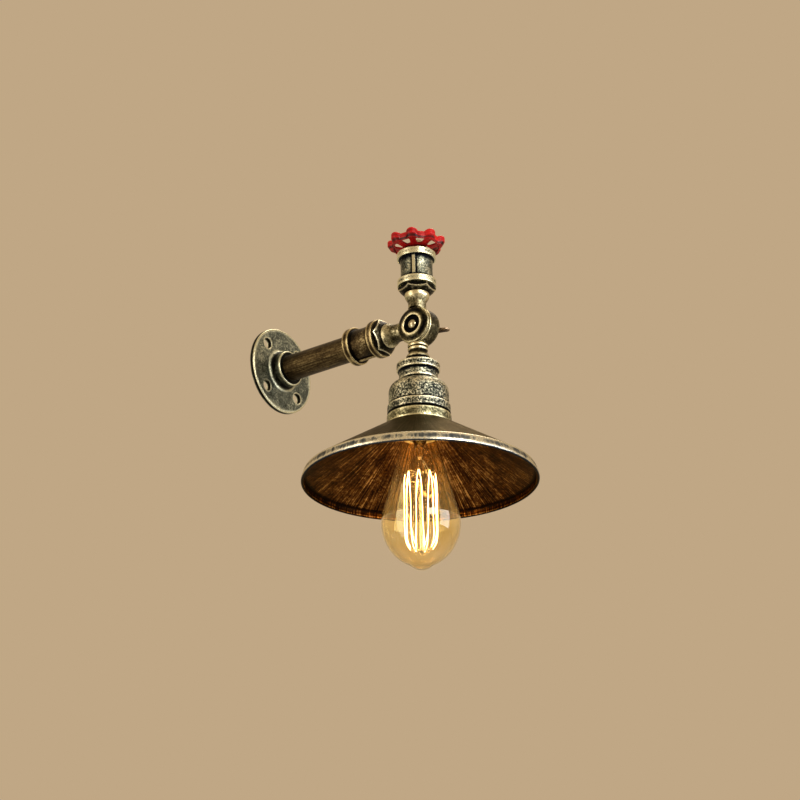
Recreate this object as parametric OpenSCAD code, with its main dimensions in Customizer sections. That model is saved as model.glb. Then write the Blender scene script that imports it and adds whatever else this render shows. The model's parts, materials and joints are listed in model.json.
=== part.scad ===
// Wall lamp of pipe fittings: flange, pipe arm, tilting knuckle, valve-wheel switch, cup and cone shade.
// Origin: centre of the flange's back face, on the wall. +Y goes into the wall, +Z is up, in millimetres.

/* [Wall flange] */
// Outer diameter of the wall flange
flange_d = 76; // [72:1:100]
// Thickness of the flange plate
flange_t = 4.5; // [4:0.5:9]
// Diameter of the threaded hub
hub_d = 31; // [30:0.5:36]
// Distance from the wall to the hub's front face
hub_reach = 14; // [12:0.5:20]
// Diameter of the screw holes
hole_d = 9; // [5:0.5:10]
// Pitch circle of the screw holes
hole_pcd = 56; // [54:1:60]
// Number of screw holes
hole_count = 4; // [3:1:6]

/* [Pipe arm] */
// Distance from the wall to the knuckle's pivot
arm_reach = 152; // [140:1:240]
// Outer diameter of the pipe
pipe_d = 22.5; // [21.5:0.1:24]
// Bore of the pipe
pipe_bore_d = 16; // [12:0.5:17]
// Diameter of the pipe thread
thread_d = 20.8; // [20:0.1:21]
// Length of each threaded end
thread_len = 9; // [7:0.5:10]
// Diameter of the supply cable
cable_d = 6; // [5:0.1:6.2]

/* [Couplings] */
// Length of a coupling
coupling_len = 31; // [30:0.5:40]
// Diameter of a coupling between its beads
coupling_d = 27.3; // [26:0.1:30]
// Diameter of the end beads
bead_d = 32.6; // [31:0.1:35]
// Length of an end bead
bead_len = 5.8; // [4:0.1:8]
// Width of the cast ribs
rib_w = 2.8; // [2:0.1:5]
// Height of the cast ribs above the coupling
rib_proud = 1.2; // [0.6:0.1:2]

/* [Hex bushings] */
// Width of the hexagon across its flats
hex_af = 27.6; // [26:0.1:30]
// Thickness of the hexagon
hex_t = 6.4; // [5:0.1:9]

/* [Knuckle] */
// Diameter of the drum of the head half
drum_d = 32.6; // [31:0.1:36]
// Length of the drum along the pivot
drum_len = 15.3; // [11:0.1:16]
// Thickness of the arm half's disc
disc_t = 3.2; // [2.8:0.1:3.6]
// Diameter of the raised ring on the disc
ring_d = 24.5; // [20:0.5:26]
// Height of the raised ring
ring_t = 1.2; // [0.6:0.1:2]
// Diameter of the recess round the bolt's head
recess_d = 16; // [12:0.1:16.4]
// Depth of the recess below the disc's face
recess_depth = 1.2; // [0.4:0.1:1.4]
// Diameter of the three necks
neck_d = 15.2; // [14:0.1:17]
// Diameter of the bells that meet the hex bushings
bell_d = 20.8; // [18:0.1:23]
// Diameter of the foot on top of the cup
foot_d = 20; // [18:0.5:26]
// Pivot to the seat of the top bushing
neck_up = 29.6; // [28:0.1:40]
// Pivot to the seat of the arm bushing
neck_arm = 31; // [29:0.1:40]
// Pivot to the top of the cup
neck_down = 34.6; // [32:0.1:45]
// Diameter of the lamp thread
nipple_d = 10; // [9.5:0.1:11]
// Bore of the lamp thread, for the leads
wire_bore_d = 6.6; // [6.4:0.1:7]
// Diameter of the pivot bolt
bolt_d = 5; // [4:0.5:6]
// Diameter of the bolt's domed head
bolt_head_d = 8; // [7:0.5:10]
// Span of the wing nut
wing_span = 35; // [28:1:44]
// Diameter of the wing nut's hub
wing_hub_d = 12; // [10:0.5:14]
// Length of the wing nut's hub
wing_hub_len = 7; // [5:0.5:10]
// Thickness of the wings at their tips
wing_t = 2.2; // [1.6:0.1:3]
// Greatest tilt of the head either way, in degrees
tilt_limit = 30; // [10:1:30]

/* [Cup] */
// Diameter of the cup's top bead
cup_bead_d = 36; // [34:0.5:40]
// Length of the top bead
cup_bead_len = 6.6; // [5:0.1:9]
// Diameter of the neck below the bead
cup_neck_d = 32; // [30:0.5:33]
// Length of the neck
cup_neck_len = 7.5; // [5:0.1:10]
// Diameter of the cup's body
cup_d = 49.6; // [49:0.2:54]
// Radius of the rounded shoulder
shoulder_r = 9; // [8:0.1:12]
// Whole length of the cup
cup_len = 44.7; // [43:0.1:52]
// Diameter of the band at the mouth
band_d = 52; // [51:0.2:58]
// Length of the band
band_len = 7.3; // [5:0.1:10]
// Wall of the cup
cup_wall = 3.2; // [2.5:0.1:3.6]
// Thickness of the cup's roof
cup_roof = 7; // [5:0.1:8]

/* [Shade] */
// Diameter of the collar between the cup and the shade
collar_d = 53; // [51:0.2:60]
// Length of the collar
collar_len = 8.8; // [6:0.1:12]
// Height of the groove between the cup and the collar
groove_h = 1.2; // [0.8:0.1:2]
// Diameter of the shade at its lower edge
shade_d = 192.8; // [150:1:260]
// Height of the shade
shade_h = 49; // [40:0.5:90]
// Height of the upright lip
lip_h = 7.8; // [5:0.1:12]
// Widening of the lip from its top to its edge, on the radius
lip_flare = 2; // [0:0.1:4]
// Thickness of the shade's sheet
shade_t = 1.2; // [0.8:0.1:2]
// Width of the flat round the top hole, beyond the collar's edge
shade_flat = 1; // [0:0.1:3]
// Thickness of the shade's ring nut
ring_nut_t = 5; // [4:0.1:7]

/* [Lampholder] */
// Outer diameter of the lampholder
holder_d = 37; // [36:0.1:37.6]
// Length of the lampholder without its boss
holder_len = 38; // [37:0.1:40]
// Thickness of the lampholder's roof
holder_roof = 5; // [4:0.1:6]
// Length of the lampholder's boss
boss_len = 8; // [6:0.1:9]
// Wall of the screw shell
shell_t = 0.5; // [0.3:0.05:0.8]
// Length of the screw shell
shell_len = 24; // [20:0.5:26]

/* [Bulb] */
// Greatest diameter of the bulb
bulb_d = 64; // [50:0.5:80]
// Length of the bulb with its cap
bulb_len = 140; // [132:1:160]
// Distance from the bulb's tip to its widest place
bulb_belly = 39; // [34:0.5:44]
// Wall of the glass
glass_t = 0.9; // [0.6:0.1:1.4]
// Diameter of the screw cap
cap_d = 26.4; // [26:0.1:26.8]
// Length of the screw cap with its contact
cap_len = 26; // [25:0.5:28]
// Diameter of the filament's cage at its middle
cage_d = 27.4; // [20:0.1:30]
// Height of the cage
cage_h = 65; // [40:1:68]
// Distance from the cap's contact to the top of the cage
cage_drop = 59; // [56:1:62]
// Strands of the filament
strands = 16; // [8:2:20]
// Diameter of the filament's wire
filament_d = 0.7; // [0.5:0.05:1]

/* [Handwheel] */
// Diameter over the handwheel's lobes
wheel_d = 49; // [44:0.5:60]
// Diameter at the valleys between the lobes
valley_d = 41; // [39:0.5:43]
// Number of lobes and of spokes
lobes = 8; // [5:1:9]
// Turn of the wheel about its spindle as drawn, in degrees
wheel_turn = 27; // [0:1:72]
// Diameter of a lobe
lobe_d = 9.6; // [7:0.1:11]
// Height of the lobes above the rim
lobe_rise = 2.4; // [0:0.1:4]
// Height of the rim
rim_h = 6.6; // [5.5:0.1:9]
// Height of the rim's underside above the hub's
rim_lift = 2; // [0.5:0.1:5]
// Diameter of the rim's inner face
rim_bore_d = 38; // [36:0.5:38.5]
// Thickness of the dished web
web_t = 1.8; // [1.6:0.1:3.2]
// Width of a spoke
spoke_w = 5.2; // [3:0.1:6]
// Diameter of the wheel's hub
wheel_hub_d = 14; // [12:0.5:16]
// Length of the wheel's hub
wheel_hub_len = 5; // [4:0.1:8]
// Diameter of the switch's spindle
spindle_d = 6; // [4:0.1:6.5]
// Length of the switch's body
switch_len = 13; // [10:0.5:13.5]

/* [Hidden] */

$fn = 96;
e = 0.01;                   // overlap of shapes joined within one piece, and of cuts past a face
far = 400;                  // reach of a cut that goes right out of a piece
thread_gap = 0.05;          // radial gap of screwed fits
run_gap = 0.05;             // radial and end gap of faces that turn on each other
sweep_gap = 0.5;            // gap between the knuckle's halves where they pass each other
slip_gap = 0.3;             // gap round pieces that drop in loosely
edge_r = 1;                 // rounding of cast edges

bronze = "#6a5a3c";
dark_bronze = "#3a2f20";
pipe_bronze = "#5a4226";
steel = "#b9b6ac";
brass = "#b08d4a";
enamel_red = "#b81a16";
porcelain = "#e9e4d8";
rubber = "#26231f";
bakelite = "#2d2019";
amber = "#d08a35";
clear_glass = "#d9dcd8";
tungsten = "#ffcf70";

// Wall flange and pipe
hub_r = hub_d / 2;
thread_r = thread_d / 2;
bore_r = thread_r + thread_gap;
coupling_r = coupling_d / 2;
bead_r = bead_d / 2;
hub_fillet = 4;
hole_turn = 45;             // angle of the first screw hole
grommet_rim = 1;            // width of the thread's end face outside the grommet's flange
grommet_len = 8;
grommet_flange_t = 1.5;
cable_r = cable_d / 2;
cable_bore_r = cable_r + slip_gap / 2;

// Knuckle, with its pivot along X
pivot = [0, -arm_reach, 0];
drum_r = drum_d / 2;
disc_r = drum_r - slip_gap;
neck_r = neck_d / 2;
bell_r = bell_d / 2;
foot_r = foot_d / 2;
nipple_r = nipple_d / 2;
wire_r = wire_bore_d / 2;
bolt_r = bolt_d / 2;
friction_t = 0.6;
disc_face = -neck_r;                              // X of the disc's outer face
joint_face = disc_face + disc_t;                  // X of the disc's inner face
drum_face = joint_face + friction_t + run_gap;
drum_end = drum_face + drum_len;
drum_wall = 3.6;
boss_wall = 2.4;
chamber_r = drum_r - drum_wall;
ring_r = ring_d / 2;
recess_r = recess_d / 2;
recess_floor = disc_face + recess_depth;
bolt_head_h = 3.2;
washer_t = 1.2;
washer_rim = 0.8;                                 // width of the washer outside the wing nut's hub
washer_r = wing_hub_d / 2 + washer_rim;
wing_seat = drum_end + run_gap + washer_t;
wing_rise = 4;                                    // reach of the wings past their hub
wing_tip = wing_seat + wing_hub_len + wing_rise;
bolt_proud = 1.5;                                 // reach of the bolt past the wing nut's hub
bolt_end = wing_seat + wing_hub_len + bolt_proud;
neck_plain = 4.6;                                 // plain stretch of a neck outside the drum
neck_ring = 0.9;                                  // height of the turned rings on the lower neck
ring_half = 1.55;                                 // half of their length
low_rings = [1.7, 5];                             // distance of their middles outside the drum
low_plain = 7.6;                                  // plain stretch of the lower neck
bell_len = 2.2;                                   // plain length of the bells
slot_half = tilt_limit + asin(wire_r / chamber_r);
arm_seat = neck_arm + hex_t;                      // pivot to the arm coupling's near end
nipple_past = 4;                                  // reach of a knuckle thread past the hexagon
nipple_len = hex_t + nipple_past;
foot_len = 6;                                     // plain length of the lower neck's foot
socket_depth = 9;                                 // depth of the thread in the lower neck
lead_inset = 3;                                   // reach of the leads into the drum's chamber
drum_edge = 4;                                    // rounding of the drum's outer edge

// Head, upward from the pivot
coupling_z = neck_up + hex_t;
coupling_top = coupling_z + coupling_len;
plug_inset = 1;
plug_t = 6;
plug_top = coupling_top - plug_inset;
plug_low = plug_top - plug_t;
switch_low = plug_low - switch_len;
switch_room = 2;                                  // room between the switch and the bushing below it
top_spigot = switch_low - switch_room - coupling_z;
hex_turn = 9;                                     // turn of the top hexagon about the head
switch_bush_wall = 1.9;
switch_bush_r = spindle_d / 2 + switch_bush_wall;
switch_nut_t = 2.6;
nut_wall = 2;                                     // wall of the small hex nuts across their flats
bush_proud = 0.8;
wheel_clear = 1.2;
wheel_z = plug_top + switch_nut_t + bush_proud + wheel_clear;
wheel_top = wheel_z + wheel_hub_len;
rim_z = wheel_z + rim_lift;
wheel_nut_h = 4.4;
nut_dome = 1.8;                                   // height of the wheel nut's domed end
nut_roof = 1.2;                                   // thickness over the spindle's end
spindle_r = spindle_d / 2;
valley_r = valley_d / 2;
lobe_r = lobe_d / 2;
lobe_edge = 1.8;                                  // chamfer on the tops of the lobes
lobe_foot = 3.8;                                  // height of the lobes' sloping lower part
foot_in = 2.4;                                    // how far that part draws in
rim_bore_r = rim_bore_d / 2;
wheel_hub_r = wheel_hub_d / 2;
web_lift = 1.2;                                   // height of the web's rim end above the rim's underside
web_lap = 1;                                      // lap of the web on the hub, and of the window cuts
hub_web = 4.3;                                    // width of the web between the hub and the windows
rim_web = 0.5;                                    // width of the web between the windows and the rim
window_in = wheel_hub_r + hub_web;
window_out = rim_bore_r - rim_web;

// Head, downward from the pivot
cup_top = -neck_down;
cup_low = cup_top - cup_len;
bead_low = cup_top - cup_bead_len;
neck_low = bead_low - cup_neck_len;
cup_r = cup_d / 2;
cup_neck_r = cup_neck_d / 2;
cup_bore_r = cup_r - cup_wall;
neck_bore_r = cup_neck_r - cup_wall;
band_r = band_d / 2;
roof_low = cup_top - cup_roof;
lock_nut_t = 4.5;
lock_nut_af = nipple_d + 2 * nut_wall;
collar_r = collar_d / 2;
collar_top = cup_low - groove_h;
collar_low = collar_top - collar_len;
spigot_len = 6;
holder_r = holder_d / 2;
shade_hole_r = holder_r + slip_gap;
collar_gap = 0.7;
collar_bore_r = holder_r + collar_gap;
shade_low = collar_low - shade_h;
shade_r = shade_d / 2;
ring_nut_low = collar_low - shade_t - ring_nut_t;
holder_proud = 2.5;                               // reach of the lampholder below the ring nut
holder_low = ring_nut_low - holder_proud;
holder_top = holder_low + holder_len;
holder_boss_wall = 3;
boss_r = nipple_r + holder_boss_wall;
boss_seat = 1;                                    // height of the lamp thread's seat above the holder's top
ring_nut_wall = 4.5;
screw_head_r = 2.6;
screw_head_h = 2.4;
screw_offset = 4;                                 // distance of a terminal screw from the boss
holder_floor = holder_top - holder_roof;
contact_h = 5.7;

// Bulb, hung from its contact
cap_r = cap_d / 2;
cap_t = 0.5;
shell_bore_r = cap_r + slip_gap;
shell_r = shell_bore_r + shell_t;
bulb_top = holder_floor - contact_h - slip_gap;
bulb_tip = bulb_top - bulb_len;
belly_z = bulb_tip + bulb_belly;
bulb_r = bulb_d / 2;
cap_low = bulb_top - cap_len;
cap_slope = 3;
contact_r = 4.8;
contact_t = 0.8;
insulator_t = 2.7;
cap_top = bulb_top - contact_t - insulator_t;
glass_neck_r = cap_r - cap_t - thread_gap;
glass_sink = 6;                                   // depth of the glass in the cap
glass_top = cap_low + glass_sink;
pip_r = 6;                                        // radius where the round end meets the sealed tip
pip_waist = 1;                                    // narrowing of the sealed tip there
pip_h = 4.5;                                      // height of the sealed tip below the bulb's round end
stem_rod_r = 1.5;
stem_flare_h = 3;
stem_len = 26;                                    // length of the stem's flared tube
pinch_z = glass_top - stem_len;
cage_top = bulb_top - cage_drop;
cage_low = cage_top - cage_h;
cage_r = cage_d / 2;
cage_bow = 1.6;                                   // bow of the strands between their ends
cage_end_r = cage_r - cage_bow;
cage_draw = 4;                                    // drawing-in of the strands at the lower hooks
draw_from = 0.75;                                 // part of the way down where the drawing-in starts
filament_r = filament_d / 2;
hook_r = 0.3;
hook_hub_r = 2.4;
hook_hub_h = 1.6;
lead_r = 0.4;
lead_foot_r = 3.2;                                // distance of the leads from the stem's axis at the pinch
lead_sink = 1;                                    // height of the pinch's end below its widest place
wire_gap = 0.2;                                   // gap between the filament and what holds it
strand_turn = 360 / (strands + 1);                // angle from one end of a strand to the other

// Points along an arc
function arc(c, r, from, to, n = 10) =
    [for (i = [0 : n]) c + r * [cos(from + (to - from) * i / n), sin(from + (to - from) * i / n)]];

// Closed outline of a band from r0 to r1 and z0 to z1, with its two outer corners rounded
function rounded_band(r0, r1, z0, z1, c) = concat(
    [[r0, z0]], arc([r1 - c, z0 + c], c, -90, 0, 6), arc([r1 - c, z1 - c], c, 0, 90, 6), [[r0, z1]]);

module on_arm() rotate([90, 0, 0]) children();                           // local Z leaves the wall
module toward_wall() translate(pivot) rotate([-90, 0, 0]) children();    // local Z: pivot to wall
module on_pivot() translate(pivot) rotate([0, 90, 0]) children();        // local Z along +X
module on_head() translate(pivot) children();                            // local Z up the head

module tube(r_out, r_in, z0, z1)
    translate([0, 0, z0]) difference() {
        cylinder(r = r_out, h = z1 - z0);
        translate([0, 0, -e]) cylinder(r = r_in, h = z1 - z0 + 2 * e);
    }

module hexagon(af, z0, z1)
    translate([0, 0, z0]) cylinder(d = af / cos(30), h = z1 - z0, $fn = 6);

// Cast pipe coupling along Z, with a bead at each end and two ribs between
module coupling(rib_angle) {
    rib_low = bead_len - e;
    wall_mid = (bore_r + coupling_r) / 2;
    difference() {
        union() {
            cylinder(r = coupling_r, h = coupling_len);
            rotate_extrude() polygon(rounded_band(wall_mid, bead_r, 0, bead_len, edge_r));
            rotate_extrude()
                polygon(rounded_band(wall_mid, bead_r, coupling_len - bead_len, coupling_len, edge_r));
            for (side = [0, 180]) rotate(rib_angle + side)
                translate([wall_mid, -rib_w / 2, rib_low])
                    cube([coupling_r - wall_mid + rib_proud, rib_w, coupling_len - 2 * rib_low]);
        }
        translate([0, 0, -e]) cylinder(r = bore_r, h = coupling_len + 2 * e);
    }
}

// Hex bushing along Z: hexagon, then the spigot that screws into a coupling
module hex_bushing(spigot) {
    corner_r = hex_af / 2 / cos(30);
    cone_foot = bell_r + slip_gap;
    cone_rise = 0.75;       // height of the chamfer's cone for each millimetre outward
    difference() {
        union() {
            intersection() {
                hexagon(hex_af, 0, hex_t);
                rotate_extrude() polygon([
                    [0, 0], [cone_foot, 0], [corner_r, cone_rise * (corner_r - cone_foot)],
                    [corner_r, hex_t], [0, hex_t]]);
            }
            translate([0, 0, hex_t - e]) cylinder(r = thread_r, h = spigot + e);
        }
        translate([0, 0, -e]) cylinder(r = nipple_r + thread_gap, h = hex_t + spigot + 3 * e);
    }
}

// Turned neck of the knuckle along Z, from the pivot out to a bell or foot of radius end_r.
// The bell swells from the neck along a smooth S, and each ring is a half round.
module neck(reach, end_r, straight, plain, rings = []) {
    swell_z = drum_r + plain;
    swell_h = reach - straight - swell_z;
    swell_r = end_r - neck_r;
    rotate_extrude() polygon(concat(
        [[0, 0], [neck_r, 0]],
        [for (z = rings, a = [-90 : 30 : 90])
            [neck_r + neck_ring * cos(a), drum_r + z + ring_half * sin(a)]],
        [for (t = [0 : 0.125 : 1]) [neck_r + swell_r * (3 - 2 * t) * t * t, swell_z + swell_h * t]],
        [[end_r, reach], [0, reach]]));
}

module wall_flange() color(bronze) on_arm() difference() {
    union() {
        rotate_extrude() polygon(rounded_band(0, flange_d / 2, 0, flange_t, edge_r));
        rotate_extrude() polygon(concat(
            [[0, flange_t - e], [hub_r + hub_fillet, flange_t - e]],
            arc([hub_r + hub_fillet, flange_t + hub_fillet], hub_fillet, 270, 180, 6),
            arc([hub_r - edge_r, hub_reach - edge_r], edge_r, 0, 90, 6), [[0, hub_reach]]));
    }
    translate([0, 0, -e]) cylinder(r = bore_r, h = hub_reach + 2 * e);
    for (i = [0 : hole_count - 1]) rotate(hole_turn + 360 * i / hole_count)
        translate([hole_pcd / 2, 0, -e]) cylinder(d = hole_d, h = flange_t + 2 * e);
}

// Pipe with a turned-down thread at each end
module arm_pipe() color(pipe_bronze) on_arm() {
    wall_end = hub_reach - thread_len;
    head_end = arm_reach - arm_seat - coupling_len + thread_len;
    difference() {
        union() {
            translate([0, 0, wall_end]) cylinder(r = thread_r, h = head_end - wall_end);
            translate([0, 0, hub_reach]) cylinder(d = pipe_d, h = head_end - thread_len - hub_reach);
        }
        translate([0, 0, wall_end - e]) cylinder(d = pipe_bore_d, h = head_end - wall_end + 2 * e);
    }
}

// Bush that keeps the cable off the pipe's end
module cable_grommet() color(rubber) on_arm() {
    pipe_end = hub_reach - thread_len;
    tube(pipe_bore_d / 2 - thread_gap, cable_bore_r, pipe_end, pipe_end + grommet_len);
    tube(thread_r - grommet_rim, cable_bore_r, pipe_end - grommet_flange_t, pipe_end);
}

module arm_cable() color(rubber) on_arm() {
    start = hub_reach - thread_len - grommet_flange_t;
    translate([0, 0, start]) cylinder(r = cable_r, h = arm_reach - drum_r - sweep_gap - start);
}

module arm_coupling() color(bronze) toward_wall() translate([0, 0, arm_seat]) coupling(90);

module arm_bushing() color(dark_bronze) toward_wall() translate([0, 0, neck_arm]) hex_bushing(thread_len);

// Disc with a bolt recess, and the neck that screws into the arm bushing
module knuckle_arm_half() color(bronze) {
    disc_edge = 1;
    disc_fall = 1.8;        // slope of the disc's face from its ring to its edge
    difference() {
        toward_wall() union() {
            neck(neck_arm, bell_r, bell_len, neck_plain);
            translate([0, 0, neck_arm - e]) cylinder(r = nipple_r, h = nipple_len + e);
        }
        on_pivot() translate([0, 0, joint_face]) cylinder(r = drum_r + sweep_gap, h = far);
        on_pivot() translate([0, 0, joint_face + e - far]) cylinder(r = disc_r - edge_r, h = far);
        toward_wall() translate([0, 0, drum_r]) cylinder(r = wire_r, h = far);
    }
    on_pivot() difference() {
        union() {
            rotate_extrude() polygon([[0, disc_face], [ring_r, disc_face],
                [disc_r - disc_edge, disc_face + disc_fall / 2], [disc_r, disc_face + disc_fall],
                [disc_r, joint_face], [0, joint_face]]);
            translate([0, 0, disc_face - ring_t])
                cylinder(r1 = ring_r - 2 * ring_t, r2 = ring_r, h = ring_t + e);
        }
        translate([0, 0, disc_face - ring_t - e])
            cylinder(r = recess_r, h = recess_floor - disc_face + ring_t + e);
        translate([0, 0, recess_floor - e]) cylinder(r = bolt_r + run_gap, h = disc_t + 2 * e);
    }
}

module friction_washer() color(rubber) on_pivot()
    tube(disc_r - slip_gap, chamber_r + slip_gap, joint_face, joint_face + friction_t);

module pivot_bolt() color(steel) on_pivot() {
    head_r = bolt_head_d / 2;
    skirt = bolt_head_h / 4;
    rotate_extrude() polygon(concat(
        [[0, recess_floor - bolt_head_h]],
        [for (a = [80 : -10 : 0]) [head_r * cos(a), recess_floor - skirt - (bolt_head_h - skirt) * sin(a)]],
        [[head_r, recess_floor], [bolt_r, recess_floor], [bolt_r, bolt_end], [0, bolt_end]]));
}

module wing_washer() color(steel) on_pivot()
    tube(washer_r, bolt_r + run_gap, drum_end + run_gap / 2, wing_seat - run_gap / 2);

// Hub with two wings that lean outward, lying along Y
module wing_nut() color(dark_bronze) on_pivot() {
    hub_r0 = wing_hub_d / 2;
    hub_end = wing_seat + wing_hub_len;
    hub_taper = 1.2;
    ear_r = 3;
    root = (bolt_r + hub_r0) / 2;
    root_t = 2.4 * wing_t;
    difference() {
        union() {
            rotate_extrude() polygon([[0, wing_seat], [hub_r0, wing_seat], [hub_r0, wing_seat + hub_taper],
                [hub_r0 - hub_taper, hub_end], [0, hub_end]]);
            for (side = [90, -90]) rotate(side) intersection() {
                rotate([90, 0, 0]) translate([0, 0, -root_t / 2]) linear_extrude(root_t) polygon(concat(
                    [[root, wing_seat + hub_taper], [hub_r0, wing_seat + hub_taper]],
                    arc([wing_span / 2 - ear_r, wing_tip - ear_r], ear_r, -50, 120, 8),
                    [[hub_r0 - hub_taper, hub_end - hub_taper / 2], [root, hub_end - hub_taper / 2]]));
                linear_extrude(far) polygon([[0, -root_t / 2], [wing_span / 2 + e, -wing_t / 2],
                    [wing_span / 2 + e, wing_t / 2], [0, root_t / 2]]);
            }
        }
        translate([0, 0, wing_seat - e]) cylinder(r = bolt_r + run_gap, h = wing_hub_len + 2 * e);
    }
}

// Hollow drum with the upper and lower necks, and a slot that the cable passes through
module knuckle_head_half() color(bronze) {
    difference() {
        union() {
            difference() {
                on_head() union() {
                    neck(neck_up, bell_r, bell_len, neck_plain);
                    translate([0, 0, neck_up - e]) cylinder(r = nipple_r, h = nipple_len + e);
                    rotate([180, 0, 0]) neck(neck_down, foot_r, foot_len, low_plain, low_rings);
                }
                on_pivot() translate([0, 0, drum_face - far]) cylinder(r = disc_r + sweep_gap, h = far);
            }
            on_pivot() rotate_extrude() polygon(concat([[0, drum_face], [drum_r, drum_face]],
                arc([drum_r - drum_edge, drum_end - drum_edge], drum_edge, 0, 90, 6), [[0, drum_end]]));
        }
        on_head() for (side = [0, 180]) rotate([side, 0, 0])
            translate([0, 0, chamber_r - lead_inset]) cylinder(r = wire_r, h = far);
        on_head() translate([0, 0, cup_top - e]) cylinder(r = nipple_r + thread_gap, h = socket_depth);
        on_pivot() difference() {
            translate([0, 0, drum_face - e]) cylinder(r = chamber_r, h = drum_len - drum_wall);
            translate([0, 0, drum_face - 2 * e]) cylinder(r = bolt_r + boss_wall, h = drum_len);
        }
        on_pivot() translate([0, 0, drum_face - e]) linear_extrude(wire_r + e - drum_face) polygon(concat(
            [[0, chamber_r / 2]], arc([0, 0], drum_r + drum_wall, 90 - slot_half, 90 + slot_half, 12)));
        on_pivot() translate([0, 0, drum_face - e]) cylinder(r = bolt_r + run_gap, h = drum_len + 2 * e);
    }
}

module top_bushing() color(dark_bronze) on_head()
    translate([0, 0, neck_up]) rotate(hex_turn) hex_bushing(top_spigot);

module top_coupling() color(bronze) on_head() translate([0, 0, coupling_z]) coupling(210);

module top_plug() color(dark_bronze) on_head()
    tube(thread_r, switch_bush_r + thread_gap, plug_low, plug_top);

// Rotary switch under the plug, with the threaded bush that holds it
module switch_body() color(bakelite) on_head() difference() {
    union() {
        translate([0, 0, switch_low]) cylinder(r = thread_r - slip_gap, h = switch_len);
        translate([0, 0, plug_low - e])
            cylinder(r = switch_bush_r, h = plug_t + switch_nut_t + bush_proud + e);
    }
    translate([0, 0, switch_low + switch_len / 2]) cylinder(r = spindle_r + run_gap, h = far);
}

module switch_nut() color(brass) on_head() difference() {
    hexagon(2 * (switch_bush_r + nut_wall), plug_top, plug_top + switch_nut_t);
    translate([0, 0, plug_top - e]) cylinder(r = switch_bush_r + thread_gap, h = switch_nut_t + 2 * e);
}

module switch_lead() color(rubber) on_head()
    translate([0, 0, chamber_r - lead_inset])
        cylinder(r = cable_r, h = switch_low - chamber_r + lead_inset);

module switch_spindle() color(steel) on_head() {
    low = switch_low + switch_len / 2 + run_gap;
    translate([0, 0, low]) cylinder(r = spindle_r, h = wheel_top + wheel_nut_h - nut_roof - low);
}

// Scalloped rim on a dished web with windows between the spokes
module handwheel() color(enamel_red) on_head() rotate(wheel_turn) difference() {
    web_end = (rim_bore_r + valley_r) / 2;
    lobe_h = rim_h + lobe_rise;
    union() {
        translate([0, 0, wheel_z]) cylinder(r = wheel_hub_r, h = wheel_hub_len);
        rotate_extrude() polygon([
            [wheel_hub_r - web_lap, wheel_z], [wheel_hub_r + web_lap, wheel_z],
            [web_end, rim_z + web_lift], [web_end, rim_z + web_lift + web_t],
            [wheel_hub_r + web_lap, wheel_z + web_t], [wheel_hub_r - web_lap, wheel_z + web_t]]);
        tube(valley_r, rim_bore_r, rim_z, rim_z + rim_h);
        difference() {
            for (i = [0 : lobes - 1]) rotate(360 * i / lobes) translate([wheel_d / 2 - lobe_r, 0, rim_z])
                rotate_extrude($fn = 48) polygon([
                    [0, 0], [lobe_r - foot_in, 0], [lobe_r, lobe_foot],
                    [lobe_r, lobe_h - lobe_edge], [lobe_r - lobe_edge, lobe_h], [0, lobe_h]]);
            translate([0, 0, rim_z - e]) cylinder(r = rim_bore_r, h = lobe_h + 2 * e);
        }
    }
    translate([0, 0, wheel_z - e]) cylinder(r = spindle_r + thread_gap, h = wheel_hub_len + 2 * e);
    for (i = [0 : lobes - 1]) rotate(360 * (i + 0.5) / lobes) translate([0, 0, wheel_z - web_lap])
        linear_extrude(rim_z + web_lift - wheel_z + web_t + 2 * web_lap) intersection() {
            difference() {
                circle(r = window_out);
                circle(r = window_in);
            }
            polygon([[0, 0],
                [far * cos(180 / lobes), far * sin(180 / lobes) - spoke_w / 2 / cos(180 / lobes)],
                [far * cos(180 / lobes), -far * sin(180 / lobes) + spoke_w / 2 / cos(180 / lobes)]]);
        }
}

module wheel_nut() color(brass) on_head() difference() {
    union() {
        hexagon(2 * (spindle_r + nut_wall), wheel_top, wheel_top + wheel_nut_h - nut_dome + slip_gap);
        rotate_extrude() polygon(concat([[0, wheel_top]],
            [for (a = [0 : 15 : 90])
                [(spindle_r + nut_dome) * cos(a), wheel_top + wheel_nut_h - nut_dome * (1 - sin(a))]]));
    }
    translate([0, 0, wheel_top - e])
        cylinder(r = spindle_r + thread_gap, h = wheel_nut_h - nut_roof + 2 * e);
}

// Threaded tube that carries the cup and the lampholder
module lower_nipple() color(brass) on_head()
    tube(nipple_r, wire_r, holder_top + boss_seat, cup_top + socket_depth - slip_gap);

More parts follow.
